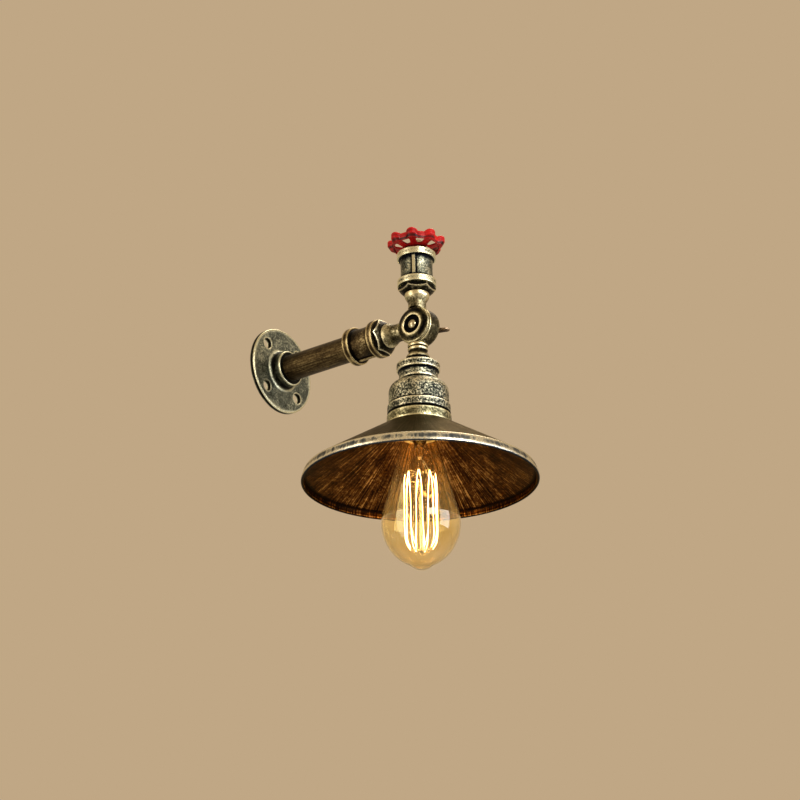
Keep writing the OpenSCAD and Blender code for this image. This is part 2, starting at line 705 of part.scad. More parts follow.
// Bell-shaped cup with a beaded neck and a banded mouth
module reducer_cup() color(bronze) on_head() {
    neck_cove = 3;                                // height of the groove between the neck and the shoulder
    cove_depth = 1;
    shoulder = [cup_r - shoulder_r, neck_low - shoulder_r - neck_cove];
    inner_r = shoulder_r - cup_wall / 2;
    difference() {
        union() {
            rotate_extrude() polygon(concat(
                [[0, cup_top], [cup_neck_r, cup_top], [cup_neck_r, neck_low]],
                [[cup_neck_r - cove_depth, neck_low - cove_depth]],
                [[cup_neck_r - cove_depth, neck_low - neck_cove + cove_depth / 2]],
                arc(shoulder, shoulder_r, 78, 0, 10), [[cup_r, cup_low], [0, cup_low]]));
            rotate_extrude()
                polygon(rounded_band(cup_neck_r - cup_wall / 2, cup_bead_d / 2, bead_low, cup_top, edge_r));
            rotate_extrude()
                polygon(rounded_band(cup_r - cup_wall / 2, band_r, cup_low, cup_low + band_len, edge_r));
        }
        rotate_extrude() polygon(concat(
            [[0, roof_low], [neck_bore_r, roof_low], [neck_bore_r, neck_low - cup_wall]],
            arc([cup_bore_r - inner_r, shoulder[1] - cup_wall / 2], inner_r, 80, 0, 8),
            [[cup_bore_r, cup_low - e], [0, cup_low - e]]));
        translate([0, 0, roof_low - e]) cylinder(r = nipple_r + thread_gap, h = cup_roof + 2 * e);
    }
}

module cup_lock_nut() color(steel) on_head() difference() {
    hexagon(lock_nut_af, roof_low - lock_nut_t, roof_low);
    translate([0, 0, roof_low - lock_nut_t - e])
        cylinder(r = nipple_r + thread_gap, h = lock_nut_t + 2 * e);
}

// Ring below the cup that the shade is clamped to
module cup_collar() color(bronze) on_head() difference() {
    union() {
        rotate_extrude() polygon(rounded_band(0, collar_r, collar_low, collar_top, edge_r));
        translate([0, 0, collar_top - e]) cylinder(r = cup_r - cup_wall / 2, h = groove_h + e);
        translate([0, 0, cup_low - e]) cylinder(r = cup_bore_r - thread_gap, h = spigot_len + e);
    }
    translate([0, 0, collar_low - e])
        cylinder(r = collar_bore_r, h = collar_len + groove_h + spigot_len + 2 * e);
}

// Porcelain lampholder with a boss for the lamp thread
module holder_body() color(porcelain) on_head() difference() {
    union() {
        translate([0, 0, holder_low]) cylinder(r = holder_r, h = holder_len);
        translate([0, 0, holder_top - e]) cylinder(r = boss_r, h = boss_len + e);
    }
    translate([0, 0, holder_low - e]) cylinder(r = shell_r + thread_gap, h = holder_len - holder_roof + e);
    translate([0, 0, holder_floor - e]) cylinder(r = wire_r, h = far);
    translate([0, 0, holder_top + boss_seat]) cylinder(r = nipple_r + thread_gap, h = far);
}

module screw_shell() color(brass) on_head()
    tube(shell_r, shell_bore_r, holder_floor - shell_len, holder_floor);

module centre_contact() color(brass) on_head() {
    dome_h = contact_h / 2;
    foot_r = wire_r + 2;
    foot_t = 2;
    rotate_extrude() polygon(concat(
        [[0, holder_floor], [0, holder_floor - contact_h]],
        [for (a = [75 : -15 : 0]) [contact_r * cos(a), holder_floor - contact_h + dome_h * (1 - sin(a))]],
        [[foot_r, holder_floor - foot_t], [foot_r, holder_floor]]));
}

module terminal_screws() color(brass) on_head() for (side = [1, -1])
    translate([side * (boss_r + screw_offset), 0, holder_top]) cylinder(r = screw_head_r, h = screw_head_h);

module holder_lead() color(rubber) on_head()
    translate([0, 0, holder_floor]) cylinder(r = cable_r, h = lead_inset - chamber_r - holder_floor);

// Spun sheet: flat ring round the holder, cone, upright lip and rolled edge
module shade() color(bronze) on_head() {
    neck_out = collar_r + shade_flat;
    lip_r = shade_r - lip_flare;
    lip_z = shade_low + lip_h;
    slope = atan2(lip_z - collar_low, lip_r - neck_out);
    down = shade_t / cos(slope);
    roll_r = 1.3;
    flat_low = collar_low - shade_t;
    rotate_extrude() polygon([
        [shade_hole_r, collar_low], [neck_out, collar_low], [lip_r, lip_z], [shade_r, shade_low],
        [shade_r - shade_t, shade_low], [lip_r - shade_t, lip_z - down - shade_t * tan(slope)],
        [neck_out + (down - shade_t) / tan(slope), flat_low], [shade_hole_r, flat_low]]);
    rotate_extrude() translate([shade_r - roll_r, shade_low + roll_r]) circle(r = roll_r, $fn = 24);
}

module shade_ring_nut() color(bakelite) on_head()
    tube(holder_r + ring_nut_wall, holder_r + thread_gap, ring_nut_low, ring_nut_low + ring_nut_t);

// Screw cap of the bulb, closed toward the contact
module bulb_cap() color(brass) on_head() difference() {
    rotate_extrude() polygon([
        [0, cap_low], [cap_r, cap_low], [cap_r, cap_top - cap_slope],
        [cap_r - cap_slope, cap_top], [0, cap_top]]);
    rotate_extrude() polygon([
        [0, cap_low - e], [cap_r - cap_t, cap_low - e], [cap_r - cap_t, cap_top - cap_slope - cap_t / 2],
        [cap_r - cap_slope - cap_t, cap_top - cap_t], [0, cap_top - cap_t]]);
}

module bulb_insulator() color(bakelite) on_head() translate([0, 0, cap_top])
    cylinder(r1 = cap_r - cap_slope, r2 = contact_r + slip_gap, h = insulator_t);

module bulb_contact() color(steel) on_head()
    translate([0, 0, bulb_top - contact_t]) cylinder(r = contact_r, h = contact_t);

// Outline of the bulb: neck in the cap, cone, round belly and sealed tip, drawn in by inset
function bulb_outline(inset) =
    let (
        neck = [glass_neck_r, cap_low - cap_t],
        lean = atan2(neck[1] - belly_z, neck[0]) - acos(bulb_r / norm(neck - [0, belly_z])),
        round_h = bulb_belly - pip_h,
        pip_a = acos(pip_r / bulb_r))
    concat(
        [[glass_neck_r - inset, glass_top], neck - [inset, 0]],
        arc([0, belly_z], bulb_r - inset, lean, 0, 5),
        [for (a = [8 : 8 : pip_a]) [(bulb_r - inset) * cos(a), belly_z - (round_h - inset) * sin(a)]],
        [for (a = [0 : 18 : 90])
            [(pip_r - pip_waist - inset) * cos(a), bulb_tip + inset + pip_h * (1 - sin(a))]]);

module bulb_glass() color(amber, 0.6) on_head() rotate_extrude() polygon(concat(
    bulb_outline(0), [for (i = [len(bulb_outline(0)) - 1 : -1 : 0]) bulb_outline(glass_t)[i]]));

// Sealed mount inside the bulb: flare, pinch and centre rod
module bulb_stem() color(clear_glass) on_head() {
    rod_low = cage_low - hook_hub_h;
    flare_top = glass_top + stem_flare_h;
    pinch_r = 3;
    pinch_h = 10;
    flare_t = 2.4;
    rotate_extrude() polygon([
        [0, flare_top], [glass_neck_r - cap_t, flare_top], [glass_neck_r, glass_top],
        [glass_neck_r - flare_t, glass_top], [pinch_r + lead_sink, pinch_z + pinch_h], [pinch_r, pinch_z],
        [stem_rod_r, pinch_z - 2 * lead_sink],
        [stem_rod_r, rod_low], [0, rod_low]]);
}

// Wires from the pinch to the two ends of the filament
module bulb_leads() color(steel) on_head() for (end = [0, strands]) {
    rise = pinch_z - lead_sink - cage_top;
    run = cage_end_r - filament_r - wire_gap - lead_r - lead_foot_r;
    rotate(end * strand_turn) translate([lead_foot_r, 0, pinch_z - lead_sink])
        rotate([0, 180 - atan2(run, rise), 0]) cylinder(r = lead_r, h = norm([rise, run]), $fn = 16);
}

// Rings of hooks that hold the filament where it turns, above and below
module filament_hooks() color(steel) on_head() for (low = [0, 1]) {
    z = low == 0 ? cage_top : cage_low;
    root = hook_hub_r - hook_r;
    tube(hook_hub_r, stem_rod_r + thread_gap, z - hook_hub_h / 2, z + hook_hub_h / 2);
    for (i = [2 - low : 2 : strands - 1]) rotate(i * strand_turn)
        translate([root, 0, z]) rotate([0, 90, 0])
            cylinder(r = hook_r, h = cage_radius(low) - filament_r - wire_gap - root, $fn = 16);
}

// Filament: strands that run up and down between the hooks, swept as one unbroken tube
strand_steps = 8;
hairpin = 7;                // odd power: the higher it is, the straighter the strands between their turns
function cage_radius(fall) =
    let (draw = max(0, fall - draw_from) / (1 - draw_from))
    cage_end_r + cage_bow * sin(180 * fall) - cage_draw * draw * draw;
function strand_point(i, t) =
    let (
        fall = i % 2 == 0 ? t : 1 - t,
        swing = pow(2 * t - 1, hairpin),
        a = (i + (1 + swing) / 2) * strand_turn)
    [cage_radius(fall) * cos(a), cage_radius(fall) * sin(a), cage_top - cage_h * fall];
filament_path = [for (i = [0 : strands - 1]) each [for (k = [0 : strand_steps - (i < strands - 1 ? 1 : 0)])
    strand_point(i, k / strand_steps)]];
strand_gaps = [for (i = [0 : len(filament_path) - 1], j = [i + strand_steps : 1 : len(filament_path) - 1])
    norm(filament_path[i] - filament_path[j])];
echo(filament_least_gap_to_itself = min(strand_gaps) - filament_d);

function unit(v) = v / norm(v);
function along(path, i) =
    unit(path[min(i + 1, len(path) - 1)] - path[max(i - 1, 0)] + [0, 0, 1e-4]);

// Tube swept along a path round the Z axis, with triangles on every side and both ends
module swept_tube(path, r, sides = 6) {
    n = len(path);
    points = [for (i = [0 : n - 1])
        let (t = along(path, i), s = unit(cross(t, [path[i][0], path[i][1], 0])), q = cross(s, t))
        for (k = [0 : sides - 1]) path[i] + r * (cos(360 * k / sides) * q + sin(360 * k / sides) * s)];
    walls = [for (i = [0 : n - 2], k = [0 : sides - 1])
        let (a = i * sides + k, b = i * sides + (k + 1) % sides)
        each [[a, a + sides, b], [b, a + sides, b + sides]]];
    ends = [for (k = [1 : sides - 2]) each [[0, k, k + 1],
        [(n - 1) * sides, (n - 1) * sides + k + 1, (n - 1) * sides + k]]];
    polyhedron(points, concat(walls, ends));
}

module filament() color(tungsten) on_head() swept_tube(filament_path, filament_r);

wall_flange();
arm_pipe();
cable_grommet();
arm_cable();
arm_coupling();
arm_bushing();
knuckle_arm_half();
friction_washer();
pivot_bolt();
wing_washer();
wing_nut();
knuckle_head_half();
top_bushing();
top_coupling();
top_plug();
switch_body();
switch_nut();
switch_lead();
switch_spindle();
handwheel();
wheel_nut();
lower_nipple();
reducer_cup();
cup_lock_nut();
cup_collar();
holder_body();
screw_shell();
centre_contact();
terminal_screws();
holder_lead();
shade();
shade_ring_nut();
bulb_cap();
bulb_insulator();
bulb_contact();
bulb_glass();
bulb_stem();
bulb_leads();
filament_hooks();
filament();
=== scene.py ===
"""Wall lamp of pipe fittings: flange, pipe arm, tilting knuckle, valve-wheel switch, cup, shade and bulb.

Shapes are worked out in millimetres and stored in metres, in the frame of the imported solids.
"""
import json
import math

import bpy
import numpy as np
from mathutils import Matrix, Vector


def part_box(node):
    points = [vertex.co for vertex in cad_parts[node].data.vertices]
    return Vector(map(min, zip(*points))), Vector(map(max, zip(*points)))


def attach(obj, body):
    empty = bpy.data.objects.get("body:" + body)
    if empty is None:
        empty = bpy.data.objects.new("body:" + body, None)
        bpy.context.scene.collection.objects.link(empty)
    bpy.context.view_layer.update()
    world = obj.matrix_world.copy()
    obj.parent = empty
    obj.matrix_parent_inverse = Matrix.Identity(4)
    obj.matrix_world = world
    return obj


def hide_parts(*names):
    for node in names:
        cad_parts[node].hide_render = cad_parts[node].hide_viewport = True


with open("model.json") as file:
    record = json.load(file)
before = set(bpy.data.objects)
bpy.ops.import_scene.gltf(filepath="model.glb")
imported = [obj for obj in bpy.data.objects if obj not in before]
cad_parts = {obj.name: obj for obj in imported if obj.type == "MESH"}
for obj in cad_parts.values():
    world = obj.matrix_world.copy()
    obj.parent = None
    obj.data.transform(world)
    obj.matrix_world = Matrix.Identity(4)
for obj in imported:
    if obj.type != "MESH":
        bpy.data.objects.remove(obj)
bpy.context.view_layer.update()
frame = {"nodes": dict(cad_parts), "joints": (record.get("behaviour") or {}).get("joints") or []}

# Camera: it stands left of the lamp and below it, and looks up at the knuckle.
# Turns are in degrees, lengths in millimetres, and the picture is square.
view_turn, view_pitch, view_roll = np.radians([-52.73, 22.38, -0.80])
view_distance = 1700
aim_right, aim_up = -15.44, -60.76
film_width, picture_px, focal_px = 36, 800, 2044.2


def add(name, data, *pose):
    """Puts an object into the scene; its pose is the ways of its x, y and z and its place, in metres."""
    made = bpy.data.objects.new(name, data)
    if pose:
        made.matrix_world = Matrix(np.vstack([np.stack(pose, 1), [0, 0, 0, 1]]))
    bpy.context.scene.collection.objects.link(made)
    return made


pivot = 1000 * np.array(next(j for j in frame["joints"] if j["name"] == "head_tilt")["pos_m"])
look = np.array([-math.sin(view_turn) * math.cos(view_pitch),
                 math.cos(view_turn) * math.cos(view_pitch), math.sin(view_pitch)])
right = np.cross(look, [0, 0, 1]) / math.cos(view_pitch)
up = np.cross(right, look)
eye = pivot + right * aim_right + up * aim_up - look * view_distance
lean_right = right * math.cos(view_roll) + up * math.sin(view_roll)
lean_up = up * math.cos(view_roll) - right * math.sin(view_roll)
camera = add("camera", bpy.data.cameras.new("camera"), lean_right, lean_up, -look, eye / 1000)
camera.data.sensor_width = film_width
camera.data.lens = film_width * focal_px / picture_px
bpy.context.scene.camera = camera

# Wall flange: a cast plate with four screw holes, whose flared, threaded hub takes the pipe.
# It is plated, darkened with a black wash and rubbed back, so its edges shine and its hollows stay dark.
plate_r, plate_t, plate_edge = 38, 4.5, 0.8
hub_r, hub_flare, hub_edge, hub_reach, pipe_thread_r = 15.5, 4, 0.7, 14, 10.45
hole_r, hole_chamfer, hole_circle_r, hole_count, first_hole = 4.5, 0.45, 28, 4, math.radians(45)
face_in, face_out = 21, 36.4
fillet_highlight_w, mouth_rub_and_highlight_w = 1.5, 0.7
across_sector, along_edge = 32, 10
x_way, y_way, z_way = np.eye(3)
wall_axis = (np.zeros(3), -y_way, x_way, z_way)


def unit(vectors):
    """Vectors drawn to length 1."""
    return vectors / np.linalg.norm(vectors, axis=-1, keepdims=True)


def outline(*corners, closed=True, longest=1.6):
    """Points (radius, height) along straight runs joined by arcs.

    A corner is (radius, height, rounding): its arc touches both runs at rounding / tan(half the corner's
    angle) from the corner. A run is divided evenly into steps no longer than `longest`.
    """
    arc_step = math.radians(16)
    at = np.array([c[:2] for c in corners], float)
    arcs = []
    for i, corner in enumerate(corners):
        if len(corner) == 2:
            arcs.append(at[i][None])
            continue
        legs = unit(np.stack([at[i - 1] - at[i], at[(i + 1) % len(at)] - at[i]]))
        half = math.acos(np.clip(legs[0] @ legs[1], -1, 1)) / 2
        bend = math.pi - 2 * half
        middle = unit(legs.sum(0)) * corner[2] / math.sin(half)
        spokes = legs * corner[2] / math.tan(half) - middle
        t = np.linspace(0, 1, 2 + math.ceil(bend / arc_step))[:, None]
        arc = (np.sin((1 - t) * bend) * spokes[0] + np.sin(t * bend) * spokes[1]) / math.sin(bend)
        arcs.append(at[i] + middle + arc)
    path = []
    for i, arc in enumerate(arcs):
        path.append(arc)
        if closed or i + 1 < len(arcs):
            run = arcs[(i + 1) % len(arcs)][0] - arc[-1]
            steps = max(1, math.ceil(np.linalg.norm(run) / longest))
            path.append(arc[-1] + run * np.linspace(0, 1, steps + 1)[1:-1, None])
    return np.concatenate(path)


def columns(path, closed=True):
    """Radius and height of an outline's points as two columns; a closed one ends with its first point."""
    return np.split(np.concatenate([path, path[:1]]) if closed else path, 2, axis=1)


def near(distance, width):
    """1 where the distance is zero, falling off as exp(-(distance / width) ** 2)."""
    return np.exp(-(distance / width) ** 2)


def convexity(path, closed, blur):
    """How far each point of a path stands out: 1 on a sharp edge, 0 on a flat, -1 in a sharp hollow.

    It is the path's turning angle, spread along its length by a Gaussian of `blur` mm, over the turn that
    counts as sharp. The length up to each point comes with it.
    """
    sharp_turn = 1.2
    before, after = path[-1:], path[:1]
    if not closed:
        before, after = 2 * path[:1] - path[1:2], 2 * path[-1:] - path[-2:-1]
    legs = np.diff(np.concatenate([before, path, after]), axis=0)
    heading = np.arctan2(legs[:, 1], legs[:, 0])
    turn = (np.diff(heading) + math.pi) % (2 * math.pi) - math.pi
    length = np.linalg.norm(legs, axis=1)
    along = np.concatenate([[0], np.cumsum(length[1:-1])])
    apart = along[:, None] - along
    if closed:
        whole = along[-1] + length[-1]
        apart = (apart + whole / 2) % whole - whole / 2
    return np.clip(np.exp(-0.5 * (apart / blur) ** 2) @ turn / sharp_turn, -1, 1), along


def circle(steps):
    """Angles once round in equal steps, with the first one again at the end."""
    return np.linspace(0, 2 * math.pi, steps + 1)


def turned(axis, path, around, closed=True, swell=0.0, wear=0.0, blur=0.8):
    """Surface of revolution as a grid (points, edge, grain).

    Point (r, h) of the path goes to origin + h * axis + (r + swell) * (cos a * first + sin a * second).
    Edge is the path's convexity plus wear, and grain is (R cos a, R sin a, length along the path).
    """
    origin, upward, first, second = axis
    edge, along = convexity(path, closed, blur)
    if closed:
        path, edge = np.concatenate([path, path[:1]]), np.append(edge, edge[0])
        along = np.append(along, along[-1] + np.linalg.norm(path[-1] - path[-2]))
    a = circle(around)
    spoke = np.cos(a)[:, None] * first + np.sin(a)[:, None] * second
    radius = path[:, :1] + np.zeros(around + 1) + swell
    points = origin + path[:, 1, None, None] * upward + radius[..., None] * spoke
    girth = path[:, 0].max()
    grain = np.stack(np.broadcast_arrays(girth * np.cos(a), girth * np.sin(a), along[:, None]), -1)
    return points, np.clip(edge[:, None] + np.zeros(around + 1) + wear, -1, 1), grain


def sector_border(r_in, r_out, half, arc_steps, edge_steps):
    """Closed border of a ring sector as radii and angles: inner arc, edge, outer arc, edge."""
    a = np.linspace(-half, half, arc_steps + 1)[:-1]
    r = np.linspace(r_in, r_out, edge_steps + 1)[:-1]
    inner, outer, side = np.full(arc_steps, r_in), np.full(arc_steps, r_out), np.full(edge_steps, half)
    return (np.concatenate([inner, r, outer, r_in + r_out - r, [r_in]]),
            np.concatenate([a, side, -a, -side, [-half]]))


def polar(radius, angle):
    """Plan points at a radius and an angle."""
    return np.stack([radius * np.cos(angle), radius * np.sin(angle)], -1)


def grid(points, edge=0.0):
    """A grid (points, edge, grain) whose grain is its own place."""
    return points, np.broadcast_to(edge, points.shape[:2]), points


def lay(axis, plan, height, edge=0.0):
    """Grid of a plan, x and y across an axis, set at a height along it."""
    origin, upward, first, second = axis
    across = plan[..., :1] * first + plan[..., 1:] * second
    return grid(origin + across + np.broadcast_to(height, plan.shape[:-1])[..., None] * upward, edge)


def build(name, shells):
    """One mesh object made of closed shells, each a list of grids (points, edge, grain).

    Points within a micrometre are joined, which closes seams and poles, cells that shrink to a line are
    dropped, and each shell's faces are turned outward by the sign of the volume that they enclose.
    """
    crease = math.radians(40)
    points, edges, grains, faces, start = [], [], [], [], 0
    for grids in shells:
        loose = np.concatenate([g[0].reshape(-1, 3) for g in grids])
        counts = np.cumsum([0] + [g[1].size for g in grids])
        index = [c + np.arange(g[1].size).reshape(g[1].shape) for c, g in zip(counts, grids)]
        cells = np.concatenate([
            np.stack([i[:-1, :-1], i[1:, :-1], i[1:, 1:], i[:-1, 1:]], -1).reshape(-1, 4) for i in index])
        _, first, joined = np.unique(np.round(loose * 1000).astype(np.int64), axis=0,
                                     return_index=True, return_inverse=True)
        cells = joined.reshape(-1)[cells]
        same = cells == np.roll(cells, -1, axis=1)
        thin = same.sum(1) == 1
        quads, tris = cells[~same.any(1)], cells[thin][~same[thin]].reshape(-1, 3)
        corners = loose[first][np.concatenate([quads[:, :3], quads[:, [0, 2, 3]], tris])]
        if np.einsum("ij,ij->", corners[:, 0], np.cross(corners[:, 1], corners[:, 2])) < 0:
            quads, tris = quads[:, ::-1], tris[:, ::-1]
        faces += (quads + start).tolist() + (tris + start).tolist()
        points.append(loose[first] / 1000)
        edges.append(np.concatenate([np.ravel(g[1]) for g in grids])[first])
        grains.append(np.concatenate([g[2].reshape(-1, 3) for g in grids])[first] / 1000)
        start += len(first)
    mesh = bpy.data.meshes.new(name)
    mesh.from_pydata(np.concatenate(points), [], faces)
    mesh.attributes.new("edge", "FLOAT", "POINT").data.foreach_set("value", np.concatenate(edges))
    mesh.attributes.new("grain", "FLOAT_VECTOR", "POINT").data.foreach_set(
        "vector", np.concatenate(grains).ravel())
    mesh.shade_smooth()
    mesh.set_sharp_from_angle(angle=crease)
    return add(name, mesh)


def fit(name, material, body, slot, cad_node, *shells):
    """Builds a piece, gives it its finish and body, and hides the solid that it stands for; its slot is not
    used.
    """
    piece = build(name, shells)
    piece.data.materials.append(material)
    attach(piece, body)
    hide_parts(cad_node)
    return piece


def linear(colour):
    """Linear RGBA of an sRGB hex colour."""
    c = np.array([int(colour[i:i + 2], 16) for i in (1, 3, 5)]) / 255
    return (*np.where(c <= 0.04045, c / 12.92, ((c + 0.055) / 1.055) ** 2.4), 1.0)


def feed(tree, target, sockets):
    """Gives sockets of a node their values, and links those that are another node's output."""
    for socket, value in sockets.items():
        if isinstance(value, bpy.types.NodeSocket):
            tree.links.new(value, target.inputs[socket])
        else:
            target.inputs[socket].default_value = value


def node(tree, kind, sockets=(), stops=(), take=0, **settings):
    """Adds a shader node with its settings, feeds its sockets, and gives back the output to take from it.

    A stop of a colour ramp is a place from 0 to 1 with a hex colour.
    """
    made = tree.nodes.new("ShaderNode" + kind)
    for key, value in settings.items():
        setattr(made, key, value)
    feed(tree, made, dict(sockets))
    for i, (place, colour) in enumerate(stops):
        element = made.color_ramp.elements[i] if i < 2 else made.color_ramp.elements.new(place)
        element.position, element.color = place, linear(colour)
    return made.outputs[take]


def drive(tree, **sockets):
    """Feeds a material's own shader; a socket's name has _ in place of a space."""
    feed(tree, tree.nodes["Principled BSDF"], {name.replace("_", " "): sockets[name] for name in sockets})


def surface(name, **sockets):
    """A material with constant values on its shader's sockets, its node tree and its Object coordinates."""
    material = bpy.data.materials.new(name)
    material.use_nodes = True
    drive(material.node_tree, **sockets)
    return material, material.node_tree, node(material.node_tree, "TexCoord", take="Object")


def antiqued(name, wash, bronze, rubbed, rub, speck, weights, stroke=0.8, stretch=1.0, shine=(0.5, 0.27),
             dent=0.35, zones=(), **sockets):
    """Bronze plate under a black wash that was rubbed back by hand.

    Rubbing shows metal on edges, along strokes and between pits; the wash stays in hollows and pits.
    Speck and stroke are the widths of pits and strokes in mm, stretch is width over length of a stroke,
    and weights are what edge, stroke, speck and broad patches add to the rubbing. A zone is a length in mm
    along the outline and the three colours that the part before it has instead.
    """
    patch, pit_depth = 12, 0.4
    places = (0.1, 0.45, 0.85)
    material, tree, place = surface(name, Metallic=1.0, **sockets)
    grain = node(tree, "Attribute", take="Vector", attribute_name="grain")
    edge = node(tree, "Attribute", take="Fac", attribute_name="edge")
    run = node(tree, "Mapping", {"Vector": grain, "Scale": (1, 1, stretch)})
    strokes = node(tree, "TexNoise", {"Vector": run, "Scale": 1000 / stroke, "Detail": 5, "Roughness": 0.6})
    specks = node(tree, "TexNoise", {"Vector": place, "Scale": 1000 / speck, "Detail": 4, "Roughness": 0.7})
    patches = node(tree, "TexNoise", {"Vector": place, "Scale": 1000 / patch, "Detail": 2})
    amount = rub - sum(weights[1:]) / 2
    for source, weight in zip((edge, strokes, specks, patches), weights):
        amount = node(tree, "Math", {0: source, 1: weight, 2: amount}, operation="MULTIPLY_ADD")
    tint = node(tree, "ValToRGB", {"Fac": amount}, zip(places, (wash, bronze, rubbed)))
    for length, *colours in zones:
        before = node(tree, "ValToRGB", {"Fac": amount}, zip(places, colours))
        along = node(tree, "SeparateXYZ", {"Vector": grain}, take="Z")
        past = node(tree, "Math", {0: along, 1: length / 1000}, operation="GREATER_THAN")
        tint = node(tree, "Mix", {"Factor": past, "A": before, "B": tint}, take="Result", data_type="RGBA")
    gloss = node(tree, "MapRange", {"Value": amount, "To Min": shine[0], "To Max": shine[1]})
    relief = node(tree, "Math", {0: specks, 1: strokes}, operation="ADD")
    bump = node(tree, "Bump", {"Height": relief, "Strength": dent, "Distance": pit_depth / 1000})
    drive(tree, Base_Color=tint, Roughness=gloss, Normal=bump)
    return material


plate_rim = outline(
    (face_out, 0), (plate_r, 0, 0.5), (plate_r, plate_t, plate_edge), (face_out, plate_t),
    closed=False, longest=0.6)
radius, height = columns(plate_rim, closed=False)
# The plate's outer side is darkened: painted shade.
painted_side_shade = -0.9 * (radius > plate_r - 0.1) * (height < plate_t - plate_edge)
plate_hub = outline(
    (face_in, plate_t), (hub_r, plate_t, hub_flare), (hub_r, hub_reach, hub_edge),
    (pipe_thread_r, hub_reach, 0.5), (pipe_thread_r, 0), (face_in, 0), closed=False, longest=1.0)
radius, height = columns(plate_hub, closed=False)
# Painted shade on the hub's flank and on its face round the bore, and a painted highlight round the flare.
hub_shade_and_highlight = (-0.2 * (radius < hub_r + fillet_highlight_w) * (height < hub_reach - 2 * hub_edge)
            - (radius < hub_r - 2 * hub_edge)
            + 0.8 * near(radius - hub_r - hub_flare + fillet_highlight_w, fillet_highlight_w) * (height > 0))
flange_grids = [turned(wall_axis, run, hole_count * across_sector, closed=False, wear=dark)
                for run, dark in ((plate_rim, painted_side_shade), (plate_hub, hub_shade_and_highlight))]
radius, angle = sector_border(face_in, face_out, math.pi / hole_count, across_sector, along_edge)
for middle in first_hole + 2 * math.pi * np.arange(hole_count) / hole_count:
    border, centre = polar(radius, middle + angle), polar(hole_circle_r, middle)
    ray = unit(border - centre)
    mouth, bore = centre + (hole_r + hole_chamfer) * ray, centre + hole_r * ray
    # The rings of faces crowd toward the hole.
    spread = (np.linspace(0, 1, 10) ** 1.4)[:, None, None]
    # Round each hole the face is brightened: rubbed, and partly a painted highlight.
    for rim, height in ((mouth, plate_t), (bore, 0)):
        plan = rim + spread * (border - rim)
        shine = near(np.linalg.norm(plan - rim, axis=-1), mouth_rub_and_highlight_w)
        flange_grids.append(lay(wall_axis, plan, height, shine))
    drop = np.array([plate_t, plate_t - hole_chamfer, plate_t / 2, 0])[:, None]
    # The hole's walls are darkened as painted shade; its mouth's edge is rubbed bright.
    wear = [[0.6], [-0.4], [-1], [-1]]
    flange_grids.append(lay(wall_axis, np.stack([mouth, bore, bore, bore]), drop, wear))
flange_bronze = antiqued(
    "grey-green bronze casting", "#12120f", "#5f6458", "#dfe0c2",
    rub=0.43, speck=1.6, weights=(0.75, 0.7, 1.0, 0.7))
fit("wall_flange_cast", flange_bronze, "arm", "cast_bronze", "wall_flange", flange_grids)

# Pipe arm: drawn steel pipe, screwed into the flange and the coupling.
# It is lacquered brown and brushed lengthwise, and the strokes show bronze under the brown.
pipe_r, pipe_bore_r, pipe_screw_r, screw_len, hub_shade_len = 11.25, 8, 10.4, 9, 9


def ends(cad_node, axis):
    """Lowest and highest height of a solid along an axis, in mm."""
    heights = [float((1000 * np.array(corner) - axis[0]) @ axis[1]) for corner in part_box(cad_node)]
    return min(heights), max(heights)


pipe_start, pipe_end = ends("arm_pipe", wall_axis)
pipe_path = outline(
    (pipe_bore_r, pipe_end), (pipe_bore_r, pipe_start), (pipe_screw_r, pipe_start), (pipe_screw_r, hub_reach),
    (pipe_r, hub_reach, 0.3), (pipe_r, pipe_end - screw_len, 0.3), (pipe_screw_r, pipe_end - screw_len),
    (pipe_screw_r, pipe_end))
height = columns(pipe_path)[1]
# The pipe darkens toward the flange's hub: painted shade.
pipe_dark = -0.3 * np.exp(-np.clip(height - hub_reach, 0, None) / hub_shade_len)
pipe_bronze = antiqued(
    "brown lacquered pipe, brushed", "#140f0a", "#443824", "#8f7f58",
    rub=0.43, speck=2.0, weights=(0.6, 1.4, 0.6, 0.45), stroke=0.45, stretch=0.025,
    shine=(0.48, 0.36), dent=0.25)
fit("arm_pipe_drawn", pipe_bronze, "arm", "pipe", "arm_pipe",
    [turned(wall_axis, pipe_path, 96, wear=pipe_dark)])

# Couplings: malleable-iron pipe couplings, one on the arm and one on top of the head.
# Each is cast with a bead at either end and two ribs between, and washed and rubbed like the flange.
bead_r, bead_len, bead_edge, body_r, waist_r, thread_bore_r = 16.3, 5.8, 0.6, 13.8, 13.4, 10.45
rib_w, rib_proud, rib_soft, rib_shadow, rib_end, rib_fade = 2.8, 1.2, 0.5, 0.8, 0.9, 0.8
arm_axis = (pivot, y_way, x_way, -z_way)
head_axis = (pivot, z_way, x_way, y_way)


